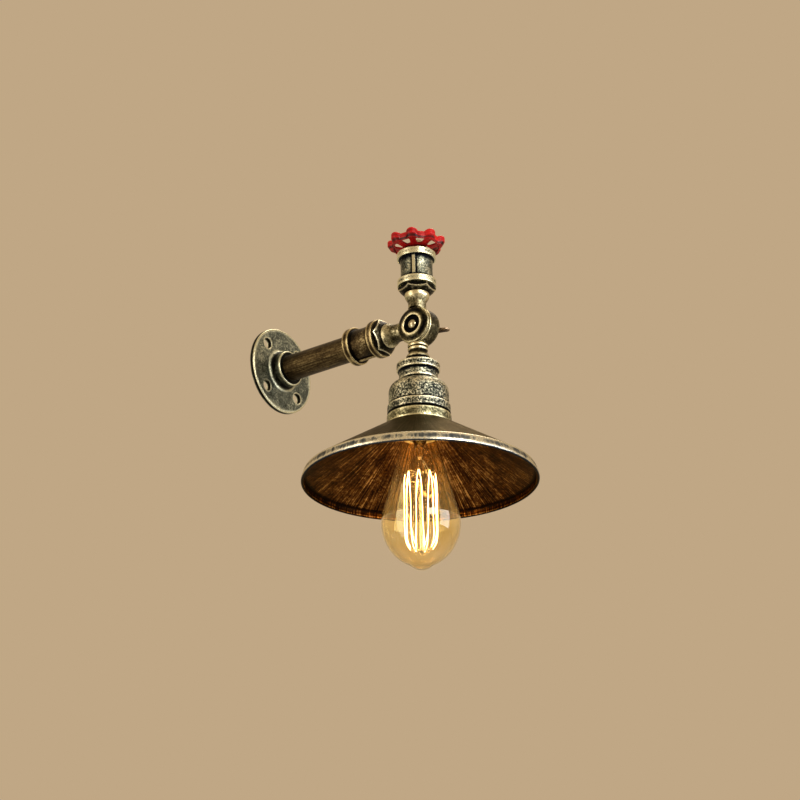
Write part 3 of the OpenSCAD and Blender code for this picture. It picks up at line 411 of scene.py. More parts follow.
def coupling(cad_node, axis, rib_turn, bead_rub):
    """Lathe of the beaded outline, swollen by two flat-topped ribs at rib_turn degrees and opposite.

    Bead_rub is how far the flat of the beads is rubbed bright. The body darkens toward the far bead as the
    fifth power of the way along it: a painted shadow under that bead. The ribs' feet get a painted
    shadow too.
    """
    low, high = ends(cad_node, axis)
    middle = (low + high) / 2
    path = outline(
        (thread_bore_r, middle), (thread_bore_r, low, 0.6), (bead_r, low, bead_edge),
        (bead_r, low + bead_len, bead_edge), (body_r, low + bead_len, 1.2), (waist_r, middle, 40),
        (body_r, high - bead_len, 1.2), (bead_r, high - bead_len, bead_edge), (bead_r, high, bead_edge),
        (thread_bore_r, high, 0.6), longest=0.9)
    around = 288
    a = circle(around) - math.radians(rib_turn)
    off = body_r * np.abs((a + math.pi / 2) % math.pi - math.pi / 2)
    rib = np.clip((rib_w / 2 + rib_soft / 2 - off) / rib_soft, 0, 1)
    # Painted shadow along the foot of each rib.
    foot = near(off - rib_w / 2 - rib_soft, rib_shadow) * (off > rib_w / 2)
    radius, height = columns(path)
    between = (height > low + bead_len - 1) & (height < high - bead_len + 1)
    body = np.clip((bead_r - rib_end - radius) / rib_fade, 0, 1) * (radius > thread_bore_r + 1.5) * between
    flat = bead_rub * (radius > bead_r - 0.1)
    # Painted shadow under the far bead.
    wash = -0.6 * body * np.clip((height - low) / (high - low), 0, 1) ** 5
    wear = body * (0.7 * rib - foot) + flat + wash
    return turned(axis, path, around, swell=rib_proud * rib * body, wear=wear)


cast_bronze = antiqued(
    "antique bronze casting", "#090c13", "#5d6358", "#ecebcc",
    rub=0.46, speck=1.8, weights=(0.85, 0.8, 1.4, 1.1))
brown_bronze = antiqued(
    "brown bronze casting", "#0e0b07", "#473b27", "#c0b082",
    rub=0.36, speck=1.8, weights=(0.6, 0.8, 0.9, 0.9))
for cad_node, axis, rib_turn, bead_rub, finish, body in (
        ("arm_coupling", arm_axis, 90, 0.05, brown_bronze, "arm"),
        ("top_coupling", head_axis, 207, 0.35, cast_bronze, "head")):
    fit(cad_node + "_cast", finish, body, "cast_bronze", cad_node,
        [coupling(cad_node, axis, rib_turn, bead_rub)])

# Hex bushings: reducers that screw into the couplings, with a chamfered hexagon toward the knuckle.
# Their wash is darker, and only the chamfer's arcs and the corners are rubbed bright.
hex_flat, hex_t, hex_break, corner_shine, lamp_thread_r = 13.8, 6.4, 0.3, 0.7, 5.05
cone_foot, cone_rise = 10.7, 0.75
top_hex_turn = 9


def bushing(cad_node, axis, turn):
    """Rows of radius, height and wear round the axis: bore, face, chamfer cone, hexagon, spigot and back.

    The hexagon's radius is flat / cos(angle from the nearest flat's middle), and the cone, which rises
    cone_rise for each mm outward, meets it at the height where their radii agree.
    """
    low, high = ends(cad_node, axis)
    a = circle(192)
    hexagon = hex_flat / np.cos((a % (math.pi / 3)) - math.pi / 6)
    meet = cone_rise * (hexagon - cone_foot)
    corner = near(hex_flat * np.abs((a + math.pi / 6) % (math.pi / 3) - math.pi / 6), corner_shine)
    rows = [(lamp_thread_r, hex_t, 0), (lamp_thread_r, 0, 0)]
    rows += [(cone_foot - 0.5, 0, -0.5), (cone_foot, 0, -0.3)]
    rows += [(cone_foot + (hexagon - cone_foot) * t, meet * t, 0.12 + 0.9 * t ** 6)
             for t in (0.2, 0.4, 0.6, 0.8, 0.9, 1)]
    rows += [(hexagon, meet + (hex_t - hex_break - meet) * t, np.maximum(0.5 * corner - 0.2, wear))
             for t, wear in ((0.06, 0.6), (0.16, -0.2), (0.5, -0.55), (0.85, -0.6), (1, 0.3))]
    rows += [(hexagon - hex_break, hex_t, 0.5), (pipe_screw_r, hex_t, -0.8), (pipe_screw_r, high - low, 0),
             (lamp_thread_r, high - low, 0), (lamp_thread_r, hex_t, 0)]
    radius, height, edge = (np.stack([row[k] + 0 * a for row in rows]) for k in range(3))
    return lay(axis, polar(radius, a + math.radians(turn)), low + height, edge)


dark_bronze = antiqued(
    "dark bronze fitting", "#060606", "#2b281d", "#e9e2c0",
    rub=0.25, speck=1.8, weights=(0.8, 0.5, 0.9, 0.5))
for cad_node, axis, hex_turn, body in (("arm_bushing", arm_axis, 0, "arm"),
                                       ("top_bushing", head_axis, top_hex_turn, "head")):
    fit(cad_node + "_hex", dark_bronze, body, "dark_fittings", cad_node, [bushing(cad_node, axis, hex_turn)])

# Knuckle: two castings that turn on each other. The arm half is a disc with a raised ring and a bolt recess,
# and the head half a drum; turned necks join them to the bushings and to the cup below.
# They are bronze, rubbed to a warm shine on the necks and the ring, with the wash left in the recess.
drum_r, disc_r, neck_r, bell_r, foot_r, sweep = 16.3, 16, 7.6, 10.4, 10, 0.5
ring_in, ring_crest, ring_out, ring_proud, recess_depth, bolt_hole_r = 8, 9.9, 12.3, 1.2, 1.2, 2.6
neck_plain, bell_len, low_plain, foot_len = 4.6, 2.2, 7.6, 6
low_rings, ring_bulge, ring_half = (1.7, 5), 0.9, 1.55
drum_edge, drum_round, turn_gap, crest_shine, ring_shadow = 0.6, 4, 0.05, 1.2, 0.9
pivot_axis = (pivot, x_way, y_way, z_way)
down_axis = (pivot, -z_way, x_way, -y_way)
disc_face = -neck_r
ring_top, recess_floor = disc_face - ring_proud, disc_face + recess_depth
disc_inner, washer_far = ends("friction_washer", pivot_axis)
drum_face, drum_end = washer_far + turn_gap, ends("wing_washer", pivot_axis)[0] - turn_gap / 2


def necking(reach, end_r, straight, plain, rings=()):
    """Outline of a turned neck outward from the drum: a plain stretch with half-oval rings, then a bell.

    The bell's radius is neck_r + (end_r - neck_r) * (3 - 2 * t) * t * t, a smooth S, and its end is flat.
    """
    half = np.linspace(-math.pi / 2, math.pi / 2, 9)
    runs = [np.array([[neck_r, drum_r]])]
    for at in rings:
        runs.append(np.stack([neck_r + ring_bulge * np.cos(half), drum_r + at + ring_half * np.sin(half)], 1))
    t = np.linspace(0, 1, 14)
    low = drum_r + plain
    bell = neck_r + (end_r - neck_r) * (3 - 2 * t) * t * t
    runs.append(np.stack([bell, low + (reach - straight - low) * t], 1))
    runs.append(outline((end_r, reach - straight), (end_r, reach, 0.4), (0, reach), closed=False)[1:])
    return np.concatenate(runs)


def neck(axis, path, neck_rub, far_r, near_r, split, near_side):
    """Turned neck whose root follows the drum.

    Its first row is drawn along the axis to sqrt(r * r - y * y), the surface of a cylinder about the pivot,
    with radius near_r on the near_side of the split plane and far_r beyond it. A cap closes the root.
    Neck_rub is how far the whole neck is rubbed bright.
    """
    points, edge, grain = turned(axis, path, 96, closed=False, wear=neck_rub)
    origin, upward = axis[:2]
    share = np.linspace(0, 1, 6)[:-1, None, None]
    foot = origin + upward * path[0, 1]
    cap = np.concatenate([foot + share * (points[0] - foot), points[:1]])
    for rows in (cap, points[:1]):
        flat = rows - origin
        cross = flat - (flat @ upward)[..., None] * upward
        aside = np.linalg.norm(cross[..., 1:], axis=-1)
        radius = np.where((flat[..., 0] - split) * near_side > 0, near_r, far_r)
        rows += (np.sqrt(radius ** 2 - aside ** 2) - flat @ upward)[..., None] * upward
    return [(points, edge, grain), grid(cap)]


disc_path = outline(
    (bolt_hole_r, disc_inner), (bolt_hole_r, recess_floor), (ring_in, recess_floor, 1.8),
    (ring_in, ring_top, 0.5), (ring_crest, ring_top, 1.3), (ring_out, disc_face, 2.0),
    (disc_r - 0.6, disc_face + 1.1, 0.8), (disc_r, disc_face + 2.0, 0.5), (disc_r, disc_inner, 0.3),
    longest=0.6)
radius, height = columns(disc_path)
# The crest of the ring is rubbed bright; the disc's rim side and the band just outside the ring are darkened
# as painted shade.
disc_rub = (-0.2 + 0.25 * near(radius - ring_crest + 0.4, crest_shine) * (height < disc_face)
            - 0.8 * (radius < ring_in - 1.1) - 0.35 * (radius > disc_r - 0.2)
            - 0.15 * near(radius - ring_out - 0.4, ring_shadow))
arm_neck = necking(ends("arm_bushing", arm_axis)[0], bell_r, bell_len, neck_plain)
knuckle_bronze = antiqued(
    "rubbed knuckle bronze", "#0a0a0b", "#4d4832", "#eae2ba",
    rub=0.37, speck=1.8, weights=(0.65, 0.7, 0.9, 0.9))
fit("knuckle_disc_cast", knuckle_bronze, "arm", "cast_bronze", "knuckle_arm_half",
    [turned(pivot_axis, disc_path, 144, wear=disc_rub, blur=0.6)],
    neck(arm_axis, arm_neck, 0.2, drum_r + sweep, disc_r - 1, disc_inner, -1))

cup_low, cup_top = ends("reducer_cup", head_axis)
drum_path = outline(
    (0, drum_face), (drum_r, drum_face, drum_edge), (drum_r, drum_end, drum_round), (0, drum_end),
    closed=False, longest=1.0)
drum = turned(pivot_axis, drum_path, 144, closed=False, wear=-0.06, blur=0.45)
top_neck = necking(ends("top_bushing", head_axis)[0], bell_r, bell_len, neck_plain)
low_neck = necking(-cup_top, foot_r, foot_len, low_plain, low_rings)
# The foot stays dark from a sixth of its length on.
low_rub = 0.3 - 0.9 * (low_neck[:, 1:] > foot_len / 6 - cup_top - foot_len)
fit("knuckle_drum_cast", knuckle_bronze, "head", "cast_bronze", "knuckle_head_half", [drum],
    neck(head_axis, top_neck, 0.38, disc_r + sweep, drum_r - 1, drum_face, 1),
    neck(down_axis, low_neck, low_rub, disc_r + sweep, drum_r - 1, drum_face, 1))

# Pivot bolt: a round-headed steel bolt through both knuckle halves, its dome bright in the dark recess.
# It is zinc plated, slightly yellowed, with fine turning marks.
bolt_r, dome_r, dome_h, dome_side = 2.5, 4, 3.2, 0.8
bolt_end = ends("pivot_bolt", pivot_axis)[1]
swing = np.linspace(0, math.pi / 2, 12)
dome = np.stack([dome_r * np.sin(swing), recess_floor - dome_side - (dome_h - dome_side) * np.cos(swing)], 1)
shank = outline((dome_r, recess_floor - dome_side + 0.1), (dome_r, recess_floor, 0.2), (bolt_r, recess_floor),
                (bolt_r, bolt_end, 0.5), (0, bolt_end), closed=False)


def mottled(name, low, high, gloss, spot, grit=None, detail=3, rough=0.5, span=(0, 1), dent=0, deep=0.2,
            **sockets):
    """Plain finish: its colour drifts from low to high in soft spots, and its grit breaks the gloss.

    Low and high are stops of a colour ramp, and spot and grit the widths of the two patterns in mm. Without
    a grit the spots do its work. Gloss is the roughness at the two ends of the grit's span, dent the
    strength of its bumps and deep their depth in mm. Real grit is finer, and is drawn so that it shows.
    """
    material, tree, place = surface(name, **sockets)
    spots = node(tree, "TexNoise",
                 {"Vector": place, "Scale": 1000 / spot, "Detail": detail, "Roughness": rough})
    fine = node(tree, "TexNoise", {"Vector": place, "Scale": 1000 / grit, "Detail": 3}) if grit else spots
    tint = node(tree, "ValToRGB", {"Fac": spots}, (low, high))
    level = node(tree, "MapRange", {"Value": fine, "From Min": span[0], "From Max": span[1],
                                    "To Min": gloss[0], "To Max": gloss[1]})
    drive(tree, Base_Color=tint, Roughness=level)
    if dent:
        bump = node(tree, "Bump", {"Height": fine, "Strength": dent, "Distance": deep / 1000})
        drive(tree, Normal=bump)
    return material


plated = dict(spot=4, detail=4, rough=0.65, span=(0.3, 0.7), dent=0.1, Metallic=1.0)
zinc = mottled("yellowed zinc plate", (0.38, "#8d8468"), (0.6, "#d9d0b0"), (0.16, 0.34), grit=0.6, **plated)
fit("pivot_bolt_domed", zinc, "arm", "steel", "pivot_bolt",
    [turned(pivot_axis, np.concatenate([dome, shank]), 64, closed=False)])

# Washers and grommet: a steel washer under the wing nut, a fibre ring between the knuckle's halves,
# and a rubber bush that keeps the cable off the pipe's end. They keep their solids.
# Rubber, fibre and mouldings are dusty in soft spots, with a fine moulded grit.
moulded = dict(spot=5, dent=0.15)
rubber = mottled("black rubber", (0.4, "#1b1917"), (0.75, "#33302b"), (0.52, 0.72), grit=0.5, **moulded)
kept = {"friction_washer": rubber, "cable_grommet": rubber, "arm_cable": rubber, "switch_lead": rubber,
        "holder_lead": rubber, "wing_washer": zinc}

# Wing nut: a cast hub with two leaning wings that clamps the knuckle.
# It is dark brown bronze, handled bright at the wings' tips.
wing_seat, wing_tip = ends("wing_nut", pivot_axis)
wing_bore_r, wing_hub_r, wing_hub_h, wing_span, wing_t, ear_r = bolt_r + 0.05, 6, 7, 35, 2.2, 3.2
wing_root, wing_end = np.array([4.0, wing_seat + 3.6]), np.array([wing_span / 2, wing_tip - 2.4])
wing_bow, wing_square, wing_half, wing_flare, root_thick = np.array([0.35, -0.9]), 0.7, 2.3, 0.9, 2.08
hub_path = outline((wing_bore_r, wing_seat + 3), (wing_bore_r, wing_seat, 0.3), (wing_hub_r, wing_seat, 0.5),
                   (wing_hub_r, wing_seat + 1.4, 0.8), (wing_hub_r - 1.2, wing_seat + wing_hub_h, 0.7),
                   (wing_bore_r, wing_seat + wing_hub_h, 0.3))


def wing(side):
    """Flat ear: a squared ellipse carried from hub to tip, rounded by sqrt(1 - q * q) over the last ear_r.

    The ellipse is the sign of cos a and sin a times their size to the power wing_square. Toward the tip it
    grows broader by wing_flare, and thins from root_thick times the thickness of the tip.
    """
    t = np.concatenate([np.linspace(0, 0.75, 14), 0.75 + 0.25 * np.sin(np.linspace(0, math.pi / 2, 12))[1:]])
    reach = wing_end - wing_root
    spine = wing_root + reach * t[:, None] + wing_bow * np.sin(math.pi * t)[:, None]
    square = unit(np.array([-reach[1], reach[0]]))
    whole = np.linalg.norm(reach)
    q = np.clip((t * whole - whole + ear_r) / ear_r, 0, 1)
    taper = np.sqrt(np.clip(1 - q ** 2, 0, 1))
    broad = (wing_half + wing_flare * t) * taper
    thick = wing_t / 2 * (root_thick - (root_thick - 1) * t) * taper
    ring = polar(1, circle(32)).T
    ring = np.sign(ring) * np.abs(ring) ** wing_square
    flat = spine[:, None] + (broad[:, None] * ring[0])[..., None] * square
    points = np.stack([flat[..., 1], side * flat[..., 0], thick[:, None] * ring[1]], -1) + pivot
    edge = np.clip(0.2 + 0.6 * np.abs(ring[0]) ** 4 + 0.5 * q[:, None] ** 2, 0, 1)
    root_cap = np.stack([np.broadcast_to(points[0].mean(0), points[0].shape), points[0]])
    return [grid(points, edge), grid(root_cap)]


handled_bronze = antiqued(
    "handled brown bronze", "#0d0806", "#33251b", "#b09a80",
    rub=0.34, speck=1.6, weights=(0.6, 0.6, 1.0, 0.5))
fit("wing_nut_cast", handled_bronze, "wing", "dark_fittings", "wing_nut",
    [turned(pivot_axis, hub_path, 64)], wing(1), wing(-1))

# Switch: a plug closes the top coupling and carries a rotary switch, whose spindle comes up through a nut.
# The wheel sits on the spindle under a domed nut. These keep their solids.
moulding = mottled("brown phenolic moulding", (0.4, "#2a1c14"), (0.75, "#43332a"), (0.32, 0.52), grit=0.4,
                   **moulded)
kept |= {"top_plug": dark_bronze, "switch_body": moulding, "switch_nut": zinc, "switch_spindle": zinc,
         "wheel_nut": zinc}

# Handwheel: a small cast valve wheel with a scalloped rim, a dished web with windows, and a hub.
# It is dipped in glossy red enamel, thin on the edges and pooled in the corners.
# Its undersides are darkened as painted shade.
wheel_low, wheel_high = ends("handwheel", head_axis)
wheel_turn = math.radians(27)
lobes, lobe_reach, valley_r, lobe_r, lobe_rise = 8, 24.5, 20.5, 4.8, 2.4
rim_bore_r, rim_lift, wheel_hub_r, wheel_hub_h, spindle_r = 19, 2, 7, 5, 3.05
rim_deep, rim_blend, rim_foot_share, rim_foot_reach = 4.0, 1.0, 0.42, 0.55
web_in, web_out, web_lift, web_t, spoke_w, window_in, window_out = 6.5, 19.7, 1.2, 1.8, 5.2, 11.3, 18.5
rim_low, dish_from = wheel_low + rim_lift, wheel_hub_r + 1
turn_across = math.cos(wheel_turn) * x_way + math.sin(wheel_turn) * y_way
turn_along = math.cos(wheel_turn) * y_way - math.sin(wheel_turn) * x_way
wheel_axis = (pivot, z_way, turn_across, turn_along)


def rim_grid():
    """Rounded section carried round the rim: its outer side follows the lobes, and they stand above the rim.

    The section slopes inward below rim_foot_share of its height. There, and on the rim's inner side, it is
    darkened: painted shade where it faces down, with some pooled enamel.
    The lobed radius is a soft maximum, blend * log(exp(p / blend) + exp(q / blend)), of the valley circle
    and of a circle of lobe_r at each lobe: c * cos(b) + sqrt(lobe_r ** 2 - (c * sin(b)) ** 2) at angle b
    from the lobe's middle. The rim's height grows with the share of a lobe's reach.
    """
    tall = wheel_high - rim_low
    foot_h = rim_foot_share * tall
    section = outline(
        (0, tall / 2), (0, 0, 0.6), (rim_foot_reach * rim_deep, 0, 0.7), (rim_deep, foot_h, 1.2),
        (rim_deep, tall, 1.9), (0, tall, 1.2), longest=0.5)
    edge = convexity(section, True, 0.8)[0]
    across, rise = columns(section)
    a = circle(512)
    b = (a + math.pi / lobes) % (2 * math.pi / lobes) - math.pi / lobes
    c = lobe_reach - lobe_r
    lobe = c * np.cos(b) + np.sqrt(np.clip(lobe_r ** 2 - (c * np.sin(b)) ** 2, 0, None))
    lobe = np.where(np.abs(c * np.sin(b)) < lobe_r, lobe, 0)
    reach = np.minimum(rim_blend * np.logaddexp(valley_r / rim_blend, lobe / rim_blend), lobe_reach)
    stretch = (reach - valley_r) / (lobe_reach - valley_r)
    radius = rim_bore_r + across / rim_deep * (reach - rim_bore_r)
    height = rim_low + rise / tall * (tall - lobe_rise + lobe_rise * stretch)
    # Painted shade on the downward-facing slope and the inner side, with some pooled enamel.
    darkening = np.clip((1.05 * foot_h - rise) / (0.3 * tall), 0, 1)
    wear = np.append(edge, edge[0])[:, None] - darkening - 0.5 * (across < 0.2)
    return lay(wheel_axis, polar(radius, a), height, np.clip(wear, -1, 1))


def under_web(radius):
    """Height of the web's underside: flat round the hub, then a straight dish up to the rim."""
    slope = (rim_low + web_lift - wheel_low) / (web_out - dish_from)
    return wheel_low + slope * np.clip(radius - dish_from, 0, None)


def web_grids():
    """Dished web: for each spoke gap, a face from the window's border to the sector's, above and below.

    The window is a squircle, |u| ** 5 + |v| ** 5 = 1, of the radius and of the angle between two spokes.
    """
    arc_steps, edge_steps, wall_rows = 16, 10, 5
    half_a = math.pi / lobes
    radius, angle = sector_border(web_in, web_out, half_a, arc_steps, edge_steps)
    mid_r, half_r = (window_in + window_out) / 2, (window_out - window_in) / 2
    u, v = (radius - mid_r) / half_r, angle / half_a
    size = (np.abs(u) ** 5 + np.abs(v) ** 5) ** 0.2
    hole_r = mid_r + half_r * u / size
    hole_a = v / size * (half_a - np.arcsin(spoke_w / 2 / hole_r))
    share = np.linspace(0, 1, 8)[:, None]
    r = hole_r + share * (radius - hole_r)
    lip = 0.8 * near(share * np.abs(radius - hole_r), 0.8)
    up_wall = np.linspace(0, web_t, wall_rows)[:, None]
    inner, outer = slice(0, arc_steps + 1), slice(arc_steps + edge_steps, 2 * arc_steps + edge_steps + 1)
    grids = []
    for i in range(lobes):
        middle = 2 * math.pi * (i + 0.5) / lobes
        plan = polar(r, middle + hole_a + share * (angle - hole_a))
        # The web's underside is darkened as painted shade, and its top a little.
        for thick, darkening in ((0, -0.7), (web_t, -0.2)):
            grids.append(lay(wheel_axis, plan, under_web(r) + thick, lip + darkening))
        for row, part in ((0, slice(None)), (-1, inner), (-1, outer)):
            foot = plan[row, part] + np.zeros((wall_rows, 1, 1))
            grids.append(lay(wheel_axis, foot, under_web(r[row, part]) + up_wall))
    return grids


wheel_hub = outline(
    (spindle_r, wheel_low + 2), (spindle_r, wheel_low, 0.4), (wheel_hub_r, wheel_low, 0.9),
    (wheel_hub_r, wheel_low + wheel_hub_h, 1.0), (spindle_r, wheel_low + wheel_hub_h, 0.4), longest=0.8)
# The enamel drifts in colour, lies in a fine orange peel and is chipped; these are their widths in mm.
drift_w, peel_w, chip_w, peel_depth = 9, 1.8, 2.2, 0.5
enamel, tree, place = surface("red gloss enamel", Metallic=0.0, Specular_IOR_Level=0.2, Coat_Weight=0.05,
                              Coat_Roughness=0.08, IOR=1.5)
edge = node(tree, "Attribute", take="Fac", attribute_name="edge")
drift = node(tree, "TexNoise", {"Vector": place, "Scale": 1000 / drift_w, "Detail": 3})
peel = node(tree, "TexNoise", {"Vector": place, "Scale": 1000 / peel_w, "Detail": 1})
chip = node(tree, "TexNoise", {"Vector": place, "Scale": 1000 / chip_w, "Detail": 5, "Roughness": 0.75})
depth = node(tree, "Math", {0: edge, 1: 0.42, 2: drift}, operation="MULTIPLY_ADD")
red = node(tree, "ValToRGB", {"Fac": depth},
           [(0.08, "#240203"), (0.34, "#740809"), (0.52, "#ad0f11"), (0.8, "#c91c18")])
thin = node(tree, "Math", {0: edge, 1: 0.26, 2: chip}, operation="MULTIPLY_ADD")
bare = node(tree, "MapRange", {"Value": thin, "From Min": 0.8, "From Max": 0.86})
coat = node(tree, "Mix", {"Factor": bare, "A": red, "B": linear("#5a1510")}, take="Result", data_type="RGBA")
gloss = node(tree, "MapRange", {"Value": chip, "To Min": 0.3, "To Max": 0.5})
bump = node(tree, "Bump", {"Height": peel, "Strength": 0.12, "Distance": peel_depth / 1000})
drive(tree, Base_Color=coat, Roughness=gloss, Normal=bump)
fit("handwheel_enamelled", enamel, "wheel", "red_enamel", "handwheel", [rim_grid()], web_grids(),
    [turned(wheel_axis, wheel_hub, 64)])

# Cup: a bell-shaped reducer below the knuckle, cast with a beaded neck and a banded mouth.
# Its wash is rubbed back hard, which leaves a black and cream speckle all over.
cup_r, cup_neck_r, cup_bead_r, cup_bead_len, cup_neck_len, band_r, band_len = 24.8, 16, 18, 6.6, 7.5, 26, 7.3
cup_wall, cup_roof, cup_shoulder, cove_h, cove_r = 3.2, 7, 9, 2.8, 15
throat_r, throat_drop, groove_shade_fade, cup_groove_shade, bead_shade_len = 12.8, 6, 0.6, 1.2, 3
bead_low = cup_top - cup_bead_len
shoulder_top = bead_low - cup_neck_len
cup_path = outline(
    (throat_r, shoulder_top - throat_drop), (cup_r - cup_wall, shoulder_top - throat_drop - 0.2, 7),
    (cup_r - cup_wall, cup_low, 0.4), (band_r, cup_low, 0.5), (band_r, cup_low + band_len, 0.45),
    (cup_r, cup_low + band_len, 0.3), (cup_r, shoulder_top - cove_h, cup_shoulder),
    (cove_r, shoulder_top - cove_h + 0.4, 0.5), (cove_r, shoulder_top - 0.8, 0.4),
    (cup_neck_r, shoulder_top, 0.35), (cup_neck_r, bead_low, 1.0), (cup_bead_r, bead_low, 0.7),
    (cup_bead_r, cup_top, 0.9), (lamp_thread_r, cup_top), (lamp_thread_r, cup_top - cup_roof),
    (throat_r, cup_top - cup_roof), longest=0.9)
radius, height = columns(cup_path)
# Painted shade: the cup darkens under the neck's bead and toward the groove at its mouth. The ring of the
# cove is darker too.
shade_under_bead = np.clip(1 - (bead_low - height) / bead_shade_len, 0, 1) * (height < bead_low)
cup_rub = (-0.5 * shade_under_bead * (radius > cove_r) - 0.5 * (np.abs(radius - cove_r) < 0.4)
           - 0.1 * (radius > band_r - 0.05) - 1.5 * np.clip((cup_low + cup_groove_shade - height) / groove_shade_fade, 0, 1))
speckled = antiqued(
    "speckled bronze casting", "#080a10", "#5a5f53", "#f0edd0",
    rub=0.45, speck=1.5, weights=(0.9, 0.8, 3.2, 0.9), dent=0.6)
fit("reducer_cup_cast", speckled, "head", "cast_bronze", "reducer_cup",
    [turned(head_axis, cup_path, 160, wear=cup_rub, blur=0.6)])

# Collar: a turned ring that screws into the cup and clamps the shade, past a dark groove.
# It is smoother than the castings, and its gold shows through in broad rubbed patches.
collar_low, collar_high = ends("cup_collar", head_axis)
collar_r, collar_bore_r, collar_len, groove_r, groove_h, spigot_r = 26.5, 19.2, 8.8, 23.6, 1.2, 21.9
collar_groove_shade = 0.9
collar_top = collar_low + collar_len
collar_path = outline(
    (collar_bore_r, collar_high), (collar_bore_r, collar_low, 0.4), (collar_r, collar_low, 0.7),
    (collar_r, collar_top, 1.0), (groove_r, collar_top, 0.4), (groove_r, collar_top + groove_h),
    (spigot_r, collar_top + groove_h), (spigot_r, collar_high), longest=1.2)
height = columns(collar_path)[1]
# The collar's top darkens toward the groove: painted shade.
collar_rub = -1.5 * np.clip((height - collar_top + collar_groove_shade) / groove_shade_fade, 0, 1)
collar_bronze = antiqued(
    "rubbed gold collar", "#100f0b", "#68664c", "#e9e4b8",
    rub=0.46, speck=1.6, weights=(0.4, 0.5, 1.9, 0.9))
fit("cup_collar_turned", collar_bronze, "head", "cast_bronze", "cup_collar",
    [turned(head_axis, collar_path, 160, wear=collar_rub)])

# Shade: a cone spun from thin sheet, with a short upright lip and a rolled edge.
# It is brushed from the middle outward: olive-brown outside, nearly black inside with gold strokes.
shade_low, shade_top = ends("shade", head_axis)
shade_hole_r, shade_neck_r, shade_r, lip_r, lip_h, sheet, roll = 18.8, 27.5, 96.4, 94.4, 7.8, 1.2, 1.3
lip_smear, lip_edge = 0.2, 0.9
shade_path = outline(
    (shade_hole_r, shade_top - sheet), (shade_neck_r + 0.6, shade_top - sheet, 2.0),
    (lip_r - sheet, shade_low + lip_h - sheet * 1.7, 1.2),
    (shade_r - 2 * roll + 0.2, shade_low + 2 * roll, 0.4), (shade_r - 2 * roll, shade_low, 1.2),
    (shade_r, shade_low, 1.2), (shade_r - 0.3, shade_low + 2 * roll, 0.5), (lip_r, shade_low + lip_h, 1.4),
    (shade_neck_r, shade_top, 2.6), (shade_hole_r, shade_top), longest=2.0)
along = np.append(0, np.cumsum(np.linalg.norm(np.diff(shade_path, axis=0), axis=1)))
edge_row = int(np.argmax(shade_path[:, 0]))
radius, height = columns(shade_path)
outside = (np.arange(len(radius)) > edge_row)[:, None]
lip = outside & (radius > lip_r - 0.6)
lip_edges = sum(near(height - shade_low - at, lip_edge) for at in (roll, lip_h))
# The lip's edges are rubbed bright. Inside, the sheet darkens toward the rim, away from the bulb: painted
# shade.
shade_rub_and_painted_shade = (lip * (0.85 * lip_edges + 0.22) - 0.15 * outside * ~lip
             - 0.12 * ~outside * np.clip(radius / lip_r - 0.3, 0, 0.5))
shade_grid = turned(head_axis, shade_path, 288, wear=shade_rub_and_painted_shade)
# The lip was rubbed along the edge, so its strokes are drawn out around it.
shade_grid[2][lip[:, 0], :, :2] *= lip_smear
inside_len, lip_len = along[edge_row] - roll, along[np.flatnonzero(lip)[-1]]
# Seen along the sheet, lacquer keeps it brown instead of white.
shade_bronze = antiqued(
    "brushed bronze sheet", "#0e0c0a", "#3b311a", "#d8cda6",
    rub=0.33, speck=2.4, weights=(0.8, 1.9, 1.0, 0.6), stroke=1.0, stretch=0.015,
    shine=(0.42, 0.26), dent=0.2, Specular_Tint=linear("#dcd5c7"),
    # The lining's warm orange browns are partly painted warm lamplight.
    zones=((lip_len, "#303947", "#747a7c", "#f4f1dc"), (inside_len, "#100803", "#5a3412", "#f2b45e")))
fit("shade_spun", shade_bronze, "head", "spun_sheet", "shade", [shade_grid])

# Lampholder: a glazed porcelain body on the lamp thread, with a brass screw shell, a contact and two
# terminals, and a moulded ring nut below that clamps the shade to the collar.
# The glaze is cream and glossy, with soft clouds; the brass is browner in spots where it was handled.
holder_low, holder_high = ends("holder_body", head_axis)
holder_r, holder_bore_r, holder_len, holder_roof, boss_r, wire_r = 18.5, 14.05, 38, 5, 8, 3.3
holder_top = holder_low + holder_len
holder_path = outline(
    (holder_bore_r, holder_low + 20), (holder_bore_r, holder_low, 0.9), (holder_r, holder_low, 1.2),
    (holder_r, holder_top, 1.5), (boss_r, holder_top, 0.6), (boss_r, holder_high, 0.8),
    (lamp_thread_r, holder_high), (lamp_thread_r, holder_top + 1), (wire_r, holder_top + 1),
    (wire_r, holder_top - holder_roof), (holder_bore_r, holder_top - holder_roof), longest=2.0)
porcelain = mottled("glazed porcelain", (0.35, "#d3cbb8"), (0.65, "#e8e2d2"), (0.15, 0.35), spot=7,
                    Metallic=0.0, Coat_Weight=0.6, Coat_Roughness=0.05, IOR=1.5)
fit("holder_body_glazed", porcelain, "head", "porcelain", "holder_body", [turned(head_axis, holder_path, 96)])
nut_low, nut_high = ends("shade_ring_nut", head_axis)
nut_r, nut_bore_r, nut_flutes, flute_depth, nut_steps = 22.6, holder_r + 0.05, 36, 0.4, 288
nut_path = outline((nut_bore_r, nut_low + 2), (nut_bore_r, nut_low, 0.5), (nut_r, nut_low, 0.9),
                   (nut_r, nut_high, 0.5), (nut_bore_r, nut_high, 0.3), longest=0.8)
radius = columns(nut_path)[0]
flute = flute_depth * np.cos(nut_flutes * circle(nut_steps)) * (radius > nut_r - 0.3)
fit("shade_ring_nut_moulded", moulding, "head", "moulding", "shade_ring_nut",
    [turned(head_axis, nut_path, nut_steps, swell=flute)])
brass = mottled("turned brass", (0.38, "#7c6232"), (0.6, "#c9a55c"), (0.22, 0.4), grit=0.5, **plated)
kept |= {"lower_nipple": brass, "cup_lock_nut": zinc, "screw_shell": brass, "centre_contact": brass,
         "terminal_screws": brass}

